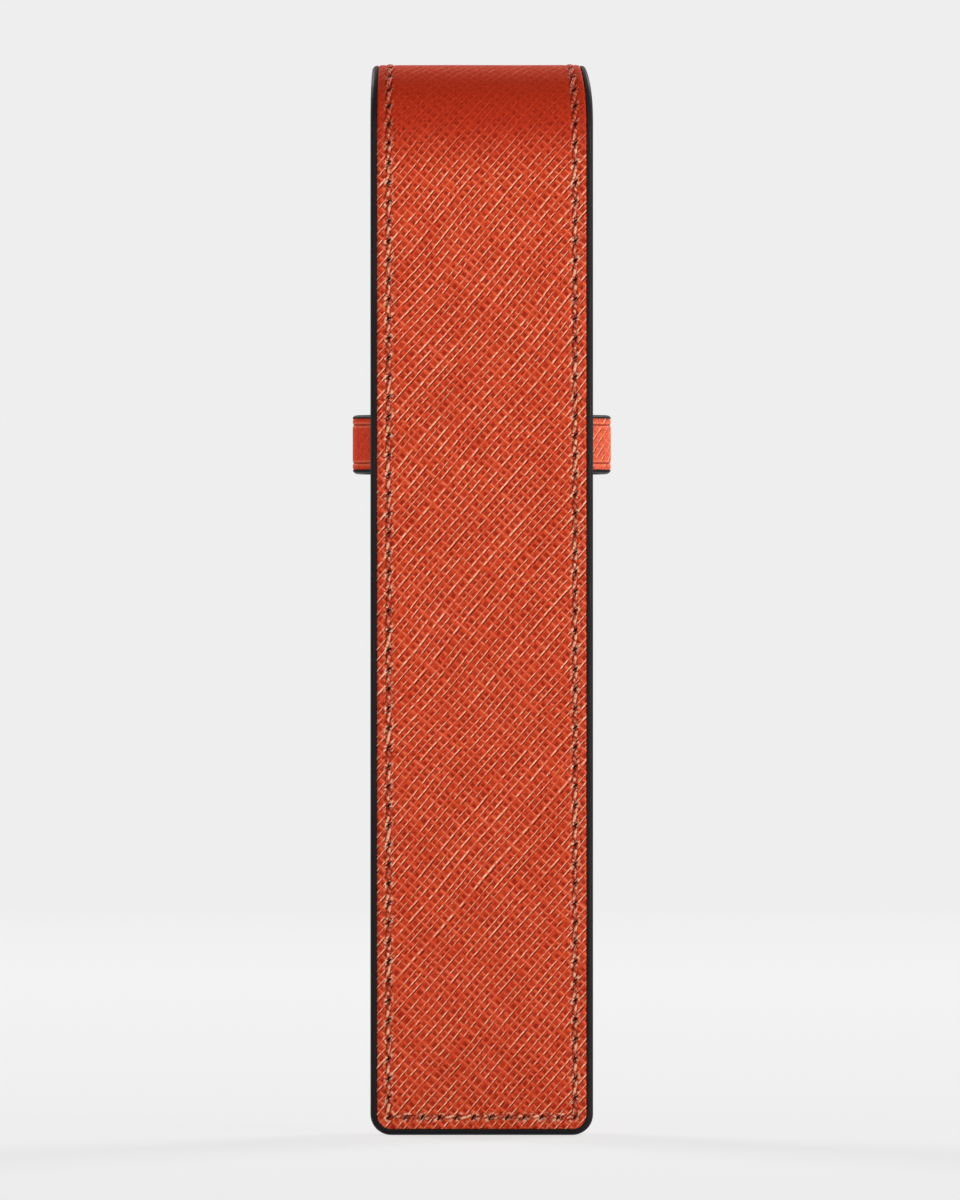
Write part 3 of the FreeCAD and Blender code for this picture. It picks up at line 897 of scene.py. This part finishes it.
def plain_sheet(start, end, near, far):
    """Board or lining of the strip between two lengths."""
    bm = new_mesh()
    points = [(near, -HALF_WIDTH), (near, HALF_WIDTH), (far, HALF_WIDTH), (far, -HALF_WIDTH)]
    edges = wire(bm, points)
    rows = strip_rows(start, end)
    if start < FOLD_START or end > FOLD_END:
        curved = {row for row in rows if row < FOOT + CORNER_ROOM or row > TIP - CORNER_ROOM}
        rows = sorted({start, end} | curved)
    sweep(bm, edges, [strip_frame(row) for row in rows], rows)
    across, along = notes_of(bm, "across", "along")
    for vert in bm.verts:
        x = vert[across]
        vert.co.x = x + corner_draw(x, vert[along]) + fold_draw(x, vert[along])
    return bm


def bead_profile(depth, reach=EDGE_PAINT, crevice=BEAD_CREVICE):
    """Half-round section of painted edge: outwards from the leather and inwards from the face."""
    middle = depth / 2
    points = []
    for step in range(BEAD_STEPS + 1):
        angle = math.pi * (step / BEAD_STEPS - 0.5)
        out = reach * math.cos(angle) ** BEAD_FULLNESS
        points.append((out, middle + (middle - crevice) * math.sin(angle)))
    return points


def round_end_frames(start, straight, corner, across):
    """Frames down one side, round two corners and up the other side."""
    frames = [start, run(start, straight)]
    for length in (across, straight):
        bend = frames[-1]
        for step in range(1, CORNER_STEPS + 1):
            frames.append(turn(bend, -corner, math.pi / 2 * step / CORNER_STEPS))
        frames.append(run(frames[-1], length))
    return frames


def sweep_edge(bm, points, frames):
    """Carry a section of painted edge along its frames."""
    edges = wire(bm, points)
    sweep(bm, edges, frames, [0.0] * len(frames))


def end_edge(start, straight, corner):
    """Painted edge round the foot or the tip."""
    bm = new_mesh()
    across = 2 * (HALF_WIDTH - corner)
    sweep_edge(bm, bead_profile(STRIP), round_end_frames(start, straight - corner, corner, across))
    return bm


def fold_edge(start, end):
    """Painted edges of both sides of the fold between two lengths."""
    bm = new_mesh()
    rows = strip_rows(start, end)
    for side in (-1, 1):
        points = [(inward, side * (HALF_WIDTH + out)) for out, inward in bead_profile(STRIP)]
        edges = wire(bm, points)
        sweep(bm, edges, [strip_frame(row) for row in rows], rows)
    across, along = notes_of(bm, "across", "along")
    for vert in bm.verts:
        vert.co.x = vert[across] + fold_draw(math.copysign(HALF_WIDTH, vert[across]), vert[along])
    return bm


def stitch_shape(length, lean):
    """One stitch along the third direction: a twisted thread that leans and dives into slits at its ends."""
    bm = bmesh.new()
    grain = bm.loops.layers.uv.new("grain")
    ring = bmesh.ops.create_circle(bm, segments=THREAD_SIDES, radius=THREAD_RADIUS)["verts"]
    edges = bm.edges[:]
    bmesh.ops.edgeloop_fill(bm, edges=edges)
    rings = [ring]
    for step in range(THREAD_RINGS - 1):
        grown = bmesh.ops.extrude_edge_only(bm, edges=edges)["geom"]
        edges = [part for part in grown if isinstance(part, bmesh.types.BMEdge)]
        rings.append([part for part in grown if isinstance(part, bmesh.types.BMVert)])
    bmesh.ops.edgeloop_fill(bm, edges=edges)
    for index, ring in enumerate(rings):
        share = 2 * index / (THREAD_RINGS - 1) - 1
        slim = 1 - THREAD_TAPER_SHARE * abs(share) ** THREAD_TAPER_POWER
        dive = THREAD_RISE - (SEAM_DEPTH + SLIT_DEPTH) * abs(share) ** THREAD_DIVE_POWER
        for vert in ring:
            angle = math.atan2(vert.co.y, vert.co.x)
            lobe = 1 + THREAD_LOBE_SHARE * math.cos(2 * (angle - THREAD_TWIST * share))
            vert.co.x *= slim * lobe * THREAD_FLAT_SHARE
            vert.co.x -= dive
            vert.co.y *= slim * lobe
            vert.co.y += lean * share
            vert.co.z = share * length / 2
    for face in bm.faces:
        for loop in face.loops:
            angle = math.atan2(loop.vert.co.y - lean * 2 * loop.vert.co.z / length, -loop.vert.co.x)
            loop[grain].uv = (angle / (2 * math.pi), loop.vert.co.z / MM)
    mesh = bpy.data.meshes.new("stitch")
    bm.to_mesh(mesh)
    bm.free()
    return mesh


def sew(stitch, frames):
    """Copies of a stitch, each at its frame on the leather's face."""
    bm = bmesh.new()
    bm.loops.layers.uv.new("grain")
    for place in frames:
        sewn = len(bm.verts)
        bm.from_mesh(stitch)
        bm.verts.ensure_lookup_table()
        seat = place @ Matrix.Translation((SEAM_DEPTH * (1 - PUCKER_SHARE), 0, 0))
        bmesh.ops.transform(bm, matrix=seat, verts=bm.verts[sewn:])
    return bm


def side_stitches(start, end):
    """Frames of the stitches on both sides of the strip between two lengths."""
    middles = [SEAM_FOOT + (count + 0.5) * STITCH for count in range(SIDE_STITCHES)]
    places = []
    for middle in middles:
        if start <= middle < end:
            for side in (-1, 1):
                x = side * SEAM_SIDE + fold_draw(side * SEAM_SIDE, middle)
                places.append(strip_frame(middle) @ Matrix.Translation((0, x, 0)))
    return places


def end_stitches(at):
    """Frames of the stitches across the foot or the tip, given the frame at the middle of that line."""
    quarter = Matrix.Rotation(math.pi / 2, 4, "X")
    places = []
    for count in range(FOOT_STITCHES):
        x = (count + 0.5) * FOOT_STITCH - SEAM_SIDE
        places.append(at @ Matrix.Translation((0, x, 0)) @ quarter)
    return places


def front_frame(height):
    """Frame on the flange's face: inwards, across and down the front."""
    return frame_of((0, FLANGE_FACE, height), (0, -1, 0), (1, 0, 0), (0, 0, -1))


def round_profile(bm, corners):
    """Round corners of a profile; each is a vertex, its radius and its number of steps."""
    for vert, radius, steps in corners:
        before, after = [edge.other_vert(vert).co - vert.co for edge in vert.link_edges]
        reach = radius / math.tan(before.angle(after) / 2)
        bmesh.ops.bevel(
            bm,
            geom=[vert],
            affect="VERTICES",
            offset=reach,
            offset_type="OFFSET",
            segments=steps,
            profile=0.5,
            material=-1,
        )


def pouch_profile(bm, outer, inner, face, back, columns):
    """Section of the pouch between two growths of the pen's room, with its flange between two planes."""
    plane = bm.verts.layers.float["plane"]
    pocket_half = HALF_WIDTH - FLANGE_WIDTH - FRONT_THICK
    chains = []
    noted = set()
    for growth, seat, fillet in ((outer, face, POUCH_FILLET), (inner, back, POUCH_FILLET + outer - inner)):
        half = pocket_half + growth
        front_half = half - POUCH_DRAFT
        near = FLANGE_FACE - seat
        far = FLANGE_FACE - (front_high.y - FRONT_THICK + growth)
        shoulder = POUCH_SHOULDER - FRONT_THICK + growth
        left = [(near, -x) for x in columns]
        dome = [(near, -half), (far, -front_half), (far, front_half), (near, half)]
        right = [(near, x) for x in columns[::-1]]
        verts = [bm.verts.new((first, second, 0)) for first, second in left + dome + right]
        for pair in zip(verts, verts[1:]):
            bm.edges.new(pair)
        chains.append((verts[0], verts[-1]))
        radii = (fillet, shoulder, shoulder, fillet)
        steps = (FILLET_STEPS, SHOULDER_STEPS, SHOULDER_STEPS, FILLET_STEPS)
        round_profile(bm, zip(verts[len(left) :], radii, steps))
        fresh = set(bm.verts) - noted
        for vert in fresh:
            vert[plane] = near
        noted |= fresh
    for ends in zip(*chains):
        bm.edges.new(ends)
    return bm.edges[:]


def shape_pouch(bm, growth, leather):
    """Round the pouch's toe, bring its foot and its corners in, and sink the seam into the flange's face."""
    inward, across, along, plane = notes_of(bm, *NOTES)
    half = HALF_WIDTH - FLANGE_WIDTH
    foot = POUCH_FOOT + FRONT_THICK - growth
    toe = POUCH_TOE - FRONT_THICK + growth
    full = front_high.y - FLANGE_FACE
    for vert in bm.verts:
        x = vert[across]
        height = vert[along]
        away = height - foot
        if away >= toe:
            lift = 1.0
        elif away > 0:
            lift = (full - toe + math.sqrt(toe**2 - (toe - away) ** 2)) / full
        else:
            lift = 0.0
        near = vert[plane]
        if vert[inward] < near - TINY:
            vert.co.y = FLANGE_FACE - near - (vert[inward] - near) * lift
        side = min(max(away, 0.0), POUCH_TOE_SIDE)
        narrow = 1 - (POUCH_TOE_SIDE - math.sqrt(POUCH_TOE_SIDE**2 - (POUCH_TOE_SIDE - side) ** 2)) / half
        if abs(x) <= half + POUCH_FILLET:
            vert.co.x = x * narrow
        elif leather and abs(vert[inward]) < TINY:
            vert.co.y -= max(seam_sink(x, height), EDGE_DROP * math.exp(-(HALF_WIDTH - abs(x)) / EDGE_SOFT))
        if abs(x) > half:
            vert.co.x = x + corner_draw(x, height)


def pouch_rows(leather):
    """Heights down the front, close together at the toe and the foot, and at each stitch on the leather."""
    top = mouth_low.z if leather else POUCH_FOOT + POUCH_TOE + FRONT_THICK
    rows = [row for row in strip_rows(FOOT, FOLD_START) if row < top - TINY]
    rows += [POUCH_FOOT + FRONT_THICK * share for share in TOE_ROW_SHARES]
    return sorted(set(rows) | {mouth_low.z})[::-1]


def lay_pouch_grain(bm):
    """UV map in millimetres as the front is seen: measured over the dome, and flat on the flange."""
    across, along, plane = notes_of(bm, "across", "along", "plane")
    rows = {}
    for vert in bm.verts:
        if vert[plane] < TINY:
            rows.setdefault(vert[along], []).append(vert)
    laid = {}
    crown = None
    for height in sorted(rows, reverse=True):
        row = sorted(rows[height], key=lambda vert: abs(vert[across]))
        last = {}
        before = crown
        crown = Vector((0, row[0].co.y, height))
        down = height if before is None else down - (crown - before).length
        for vert in row:
            side = math.copysign(1, vert[across])
            start, reach = last.get(side, (Vector((0, vert.co.y, vert.co.z)), 0.0))
            reach += (vert.co - start).length
            last[side] = (vert.co, reach)
            laid[vert] = (-side * reach / MM, down / MM + DOME_GRAIN)
    grain = bm.loops.layers.uv.new("grain")
    for face in bm.faces:
        domed = max(vert.co.y for vert in face.verts) > FLANGE_FACE + FLANGE_ROOM
        for loop in face.loops:
            flat = (-loop.vert.co.x / MM, loop.vert.co.z / MM)
            loop[grain].uv = laid.get(loop.vert, flat) if domed else flat


def pouch_sheet(outer, inner, face, back, leather):
    """Leather or lining of the front."""
    bm = new_mesh()
    columns = [HALF_WIDTH - step for step in (EDGE_STEPS if leather else EDGE_STEPS[:1])]
    edges = pouch_profile(bm, outer, inner, face, back, columns)
    rows = pouch_rows(leather)
    sweep(bm, edges, [front_frame(row) for row in rows], rows)
    shape_pouch(bm, outer, leather)
    if leather:
        lay_pouch_grain(bm)
    return bm


def mouth_edge():
    """Painted edge of the pouch's mouth, rounded on top."""
    bm = new_mesh()
    edges = pouch_profile(bm, FRONT_THICK, 0.0, FLANGE_FACE, FLANGE_BACK, [HALF_WIDTH])
    rows = [mouth_low.z, mouth_high.z]
    sweep(bm, edges, [front_frame(row) for row in rows], rows)
    rim = [edge for edge in bm.edges if all(vert.co.z > mouth_high.z - TINY for vert in edge.verts)]
    bmesh.ops.bevel(
        bm,
        geom=rim,
        affect="EDGES",
        offset=MOUTH_ROUND,
        segments=MOUTH_STEPS,
        profile=0.5,
        material=-1,
    )
    return bm


def front_edge():
    """Painted edge of the flange, left open where the loop comes out of the seam."""
    bm = new_mesh()
    points = bead_profile(FLANGE_FACE - FLANGE_BACK)
    start = frame_of((-HALF_WIDTH, FLANGE_FACE, loop_paint_low.z), (-1, 0, 0), (0, -1, 0), (0, 0, -1))
    straight = loop_paint_low.z - FOOT - FOOT_CORNER
    sweep_edge(bm, points, round_end_frames(start, straight, FOOT_CORNER, 2 * (HALF_WIDTH - FOOT_CORNER)))
    for side in (-1, 1):
        top = frame_of((side * HALF_WIDTH, FLANGE_FACE, mouth_high.z), (side, 0, 0), (0, -1, 0), (0, 0, -1))
        sweep_edge(bm, points, [top, run(top, mouth_high.z - loop_paint_high.z)])
    return bm


def front_stitches():
    """Frames of the stitches on both sides of the flange's face."""
    places = []
    middle = SEAM_FOOT + STITCH / 2
    while middle + STITCH / 2 < mouth_low.z:
        for side in (-1, 1):
            places.append(front_frame(middle) @ Matrix.Translation((0, side * SEAM_SIDE, 0)))
        middle += STITCH
    return places


def loop_frames():
    """Frames round the strap's outer face, from one seam to the other, and their lengths along it."""
    slope = math.tan(LOOP_FLARE)
    rise = (loop_high.x - paint_high.x) * slope
    flare = math.hypot(loop_high.x - paint_high.x, rise) + LOOP_ROOT
    bend_reach = LOOP_BEND * math.tan(LOOP_FLARE / 2)
    heading = Vector((math.cos(LOOP_FLARE), math.sin(LOOP_FLARE), 0))
    outward = Vector((math.sin(LOOP_FLARE), -math.cos(LOOP_FLARE), 0))
    root = Vector((paint_high.x, FLANGE_BACK, 0)) - heading * LOOP_ROOT
    side = loop_high.y - FLANGE_BACK - rise - bend_reach - LOOP_CORNER
    front = 2 * (loop_high.x - LOOP_CORNER)
    frames = [frame_of(root, outward, (0, 0, 1), heading)]
    lengths = [0.0]
    moves = [
        (flare - bend_reach, 0, 0),
        (0, LOOP_BEND, LOOP_FLARE),
        (side, 0, 0),
        (0, LOOP_CORNER, math.pi / 2),
    ]
    moves += [(front, 0, 0)] + moves[::-1]
    for straight, radius, angle in moves:
        here = frames[-1]
        before = lengths[-1]
        for step in range(1, CORNER_STEPS + 1):
            share = step / CORNER_STEPS
            frames.append(turn(here, -radius, angle * share) if radius else run(here, straight * share))
            lengths.append(before + share * (straight + radius * angle))
    return frames, lengths


def loop_strap():
    """Leather of the strap, with a crease along each edge of its face."""
    bm = new_mesh()
    low = loop_low.z
    high = loop_high.z
    points = []
    for z in [low + step for step in LOOP_STEPS] + [high - step for step in LOOP_STEPS[::-1]]:
        away = min(z - low, high - z)
        crease = LOOP_CREASE_DEPTH * math.exp(-(((away - LOOP_CREASE_INSET) / LOOP_CREASE_WIDTH) ** 2))
        points.append((-max(crease, LOOP_EDGE_DROP * math.exp(-away / EDGE_SOFT)), z))
    points += [(-LOOP_LEATHER, high), (-LOOP_LEATHER, low)]
    edges = wire(bm, points)
    frames, lengths = loop_frames()
    sweep(bm, edges, frames, lengths)
    lay_grain(bm, "along", "across")
    return bm


def loop_inside():
    """Lining of the strap."""
    bm = new_mesh()
    near = -LOOP_LEATHER
    far = near - LOOP_LINING
    points = [(near, loop_low.z), (near, loop_high.z), (far, loop_high.z), (far, loop_low.z)]
    edges = wire(bm, points)
    frames, lengths = loop_frames()
    sweep(bm, edges, frames, lengths)
    return bm


def loop_edges():
    """Painted upper and lower edges of the strap."""
    bm = new_mesh()
    thick = LOOP_LEATHER + LOOP_LINING
    rise = loop_low.z - loop_paint_low.z
    frames, lengths = loop_frames()
    for height, way in ((loop_low.z, -1), (loop_high.z, 1)):
        bead = bead_profile(thick, rise, 0.0)
        points = [(inward - thick, height + way * out) for out, inward in bead]
        edges = wire(bm, points)
        sweep(bm, edges, frames, lengths)
    return bm


leather_finish = cross_hatched_leather()
strap_finish = strap_leather()
paint_finish = black_edge_paint()
lining_finish = black_lining_leather()
board_finish = bonded_board()
# Thread with painted highlights on its crown, fewer over the fold
thread_finish = twisted_thread("coral_twisted_thread", 1.0)
fold_thread_finish = twisted_thread("coral_fold_thread", 0.2)
side_stitch = stitch_shape(STITCH, THREAD_LEAN)
foot_stitch = stitch_shape(FOOT_STITCH, -THREAD_LEAN)


def strip_layers(start, end):
    """Leather, board and lining of the strip between two lengths, each with its finish and slot."""
    board_far = LEATHER + BOARD
    return [
        ("leather", leather_sheet(start, end), leather_finish, "saffiano_leather"),
        ("interlining", plain_sheet(start, end, LEATHER, board_far), board_finish, "interlining_board"),
        ("lining", plain_sheet(start, end, board_far, STRIP), lining_finish, "smooth_lining"),
    ]


# The strip's straight parts ride on the sleeve and the flap
STRAIGHTS = (
    ("back", "sleeve", ("back",), FOOT, FOLD_START, FOLD_START, FOOT_CORNER, SEAM_FOOT),
    ("flap", "flap", ("flap", "tongue"), FOLD_END, TIP, FOLD_END, TIP_CORNER, SEAM_TIP),
)
for part, body, parts, start, end, at_fold, corner, seam_end in STRAIGHTS:
    for layer, bm, finish, slot in strip_layers(start, end):
        nodes = [f"{node}_{layer}" for node in parts]
        add_piece(bm, f"{part}_{layer}_sheet", finish, slot, nodes, [body])
    face = strip_frame(at_fold)
    inwards = face.col[0].to_3d()
    top = frame_of(face @ Vector((0, -HALF_WIDTH, 0)), (-1, 0, 0), inwards, (0, 0, -1))
    bm = end_edge(top, end - start, corner)
    nodes = [f"{node}_edge_paint" for node in parts]
    add_piece(bm, f"{part}_edge_bead", paint_finish, "edge_paint", nodes, [body])
    bm = sew(side_stitch, side_stitches(start, end))
    nodes = [f"{node}_thread" for node in parts]
    add_piece(bm, f"{part}_side_stitches", thread_finish, "thread", nodes, [body])
    bm = sew(foot_stitch, end_stitches(strip_frame(seam_end)))
    add_piece(bm, f"{part}_end_stitches", thread_finish, "thread", [], [body])

# The fold bends in parts, each between two neighbouring bodies
CHAIN = ["sleeve"] + [f"fold_{part}" for part in range(1, FOLD_PARTS)] + ["flap"]
FOLD_ARC = (FOLD_END - FOLD_START) / FOLD_PARTS
for part in range(FOLD_PARTS):
    start = FOLD_START + part * FOLD_ARC
    end = start + FOLD_ARC
    bodies = [CHAIN[part], CHAIN[part + 1]]
    span = [strip_frame(start).translation, strip_frame(end).translation]
    layers = strip_layers(start, end) + [
        ("edge_paint", fold_edge(start, end), paint_finish, "edge_paint"),
        ("thread", sew(side_stitch, side_stitches(start, end)), fold_thread_finish, "thread"),
    ]
    for layer, bm, finish, slot in layers:
        nodes = [f"fold_{layer}_{part}"] if part else []
        add_piece(bm, f"fold_{layer}_bend_{part + 1}", finish, slot, nodes, bodies, *span)

# The pouch and the loop ride on the sleeve
pouch_leather = pouch_sheet(FRONT_THICK, FRONT_LINING, FLANGE_FACE, FLANGE_SEAT, True)
pouch_lining = pouch_sheet(FRONT_LINING, 0.0, FLANGE_SEAT, FLANGE_BACK, False)
pouch_sides = sew(side_stitch, front_stitches())
pouch_foot = sew(foot_stitch, end_stitches(front_frame(SEAM_FOOT)))
FRONT = (
    ("pouch_leather", pouch_leather, leather_finish, "saffiano_leather", ["front_leather"]),
    ("pouch_lining", pouch_lining, lining_finish, "smooth_lining", ["front_lining"]),
    ("pouch_mouth_edge", mouth_edge(), paint_finish, "edge_paint", ["mouth_edge_paint"]),
    ("pouch_edge_bead", front_edge(), paint_finish, "edge_paint", ["front_edge_paint"]),
    ("pouch_side_stitches", pouch_sides, thread_finish, "thread", ["front_thread"]),
    ("pouch_foot_stitches", pouch_foot, thread_finish, "thread", []),
    ("loop_strap", loop_strap(), strap_finish, "saffiano_leather", ["loop_leather"]),
    ("loop_strap_lining", loop_inside(), lining_finish, "smooth_lining", ["loop_lining"]),
    ("loop_strap_edges", loop_edges(), paint_finish, "edge_paint", ["loop_edge_paint"]),
)
for name, bm, finish, slot, nodes in FRONT:
    add_piece(bm, name, finish, slot, nodes, ["sleeve"])

# Camera square to the back, as far off as the photograph's flat look asks
PHOTO_HEIGHT = 1200
PHOTO_WIDTH = 960
BODY_TOP_ROW = 65
BODY_FOOT_ROW = 1135
BODY_MIDDLE_COLUMN = 481.75
CAMERA_AWAY = 1.5
SENSOR = 36.0
crest_away = CAMERA_AWAY + FOLD_RADIUS
foot_away = CAMERA_AWAY + STRIP / 2
camera_height = crest_high.z * foot_away / (foot_away + crest_away)
pixels_per_slope = (BODY_FOOT_ROW - BODY_TOP_ROW) / 2 * foot_away / camera_height
camera_data = bpy.data.cameras.new("camera")
camera_data.sensor_width = SENSOR
camera_data.lens = SENSOR * pixels_per_slope / PHOTO_HEIGHT
camera = bpy.data.objects.new("camera", camera_data)
bpy.context.scene.collection.objects.link(camera)
camera.location = (
    (PHOTO_WIDTH / 2 - BODY_MIDDLE_COLUMN) * CAMERA_AWAY / pixels_per_slope,
    BACK_FACE - CAMERA_AWAY,
    camera_height,
)
camera.rotation_euler = (math.radians(90), 0, 0)
bpy.context.scene.camera = camera

# Floor and sky, whose light on the part is set apart from how bright they are seen
FLOOR_REACH = 1.1
FLOOR_STEPS = 96
FLOOR_CLOUD_SCALE = 3.0
FLOOR_GREY = (0.80, 0.80, 0.80, 1.0)
FLOOR_PALE = (0.84, 0.84, 0.84, 1.0)
FLOOR_ROUGHNESS = 0.9
FLOOR_GLOSS = 0.1
FLOOR_GLOW = (0.87, 0.87, 0.87, 1.0)
FLOOR_GLOW_SHARE = 0.3
FLOOR_SEEN_SHARE = 0.5
SKY_COLOUR = (0.995, 0.995, 1.0, 1.0)
SKY_SEEN = 0.86
SKY_REACH = 0.6
SKY_LOW = 0.74
SKY_HIGH = 0.06

# Soft boxes: power, width, height and place
LAMPS = {
    "key_right": (32.0, 0.45, 0.6, (1.39, -0.8, 0.0)),
    "front_fill": (13.0, 1.2, 0.7, (-1.1, -1.5, 0.0)),
    "back_left": (15.0, 0.5, 0.5, (-0.9, 0.8, 1.1)),
    "back_right": (15.0, 0.5, 0.5, (0.9, 0.8, 1.1)),
}
LAMP_AIM = Vector((0, 0, 0.08))


def seen_rays(tree):
    """1 for rays that show a place rather than light another: seen, seen through and mirrored."""
    path = add_node(tree, "ShaderNodeLightPath", {}, {})
    seen = maths(tree, "MAXIMUM", path.outputs["Is Camera Ray"], path.outputs["Is Transmission Ray"])
    return maths(tree, "MAXIMUM", seen, path.outputs["Is Glossy Ray"])


def pale_floor():
    """Pale grey ground that keeps the object's shadow."""
    finish, tree, shader = new_finish("pale_floor")
    cloud = speckle(tree, object_place(tree), FLOOR_CLOUD_SCALE)
    coloured(tree, shader, tint(tree, cloud, FLOOR_GREY, FLOOR_PALE))
    shader.inputs["Roughness"].default_value = FLOOR_ROUGHNESS
    glossed(shader, FLOOR_GLOSS)
    glow = add_node(tree, "ShaderNodeEmission", {}, {"Color": FLOOR_GLOW}).outputs[0]
    shown = maths(tree, "MULTIPLY_ADD", seen_rays(tree), FLOOR_SEEN_SHARE, FLOOR_GLOW_SHARE)
    mixed = add_node(tree, "ShaderNodeMixShader", {}, {0: shown, 1: shader.outputs[0], 2: glow})
    tree.links.new(mixed.outputs[0], tree.nodes["Material Output"].inputs["Surface"])
    return finish


bm = bmesh.new()
bmesh.ops.create_circle(bm, cap_ends=True, segments=FLOOR_STEPS, radius=FLOOR_REACH)
floor_mesh = bpy.data.meshes.new("floor")
bm.to_mesh(floor_mesh)
bm.free()
floor_mesh.materials.append(pale_floor())
floor = bpy.data.objects.new("floor", floor_mesh)
bpy.context.scene.collection.objects.link(floor)

world = bpy.data.worlds.new("studio")
world.use_nodes = True
bpy.context.scene.world = world
sky = world.node_tree
towards = add_node(sky, "ShaderNodeTexCoord", {}, {}).outputs["Generated"]
soft = ramp(sky, parts_of(sky, towards)["Z"], 0.0, SKY_REACH, SKY_LOW, SKY_HIGH)
level = maths(sky, "MAXIMUM", times(sky, seen_rays(sky), SKY_SEEN), soft)
sky.nodes["Background"].inputs["Color"].default_value = SKY_COLOUR
sky.links.new(level, sky.nodes["Background"].inputs["Strength"])

for name, (power, wide, tall, place) in LAMPS.items():
    lamp = bpy.data.lights.new(name, "AREA")
    lamp.shape = "RECTANGLE"
    lamp.size = wide
    lamp.size_y = tall
    lamp.energy = power
    lamp_object = bpy.data.objects.new(name, lamp)
    bpy.context.scene.collection.objects.link(lamp_object)
    lamp_object.location = place
    lamp_object.visible_camera = False
    lamp_object.rotation_euler = (LAMP_AIM - Vector(place)).to_track_quat("-Z", "Y").to_euler()

bpy.context.scene.view_settings.view_transform = "Standard"
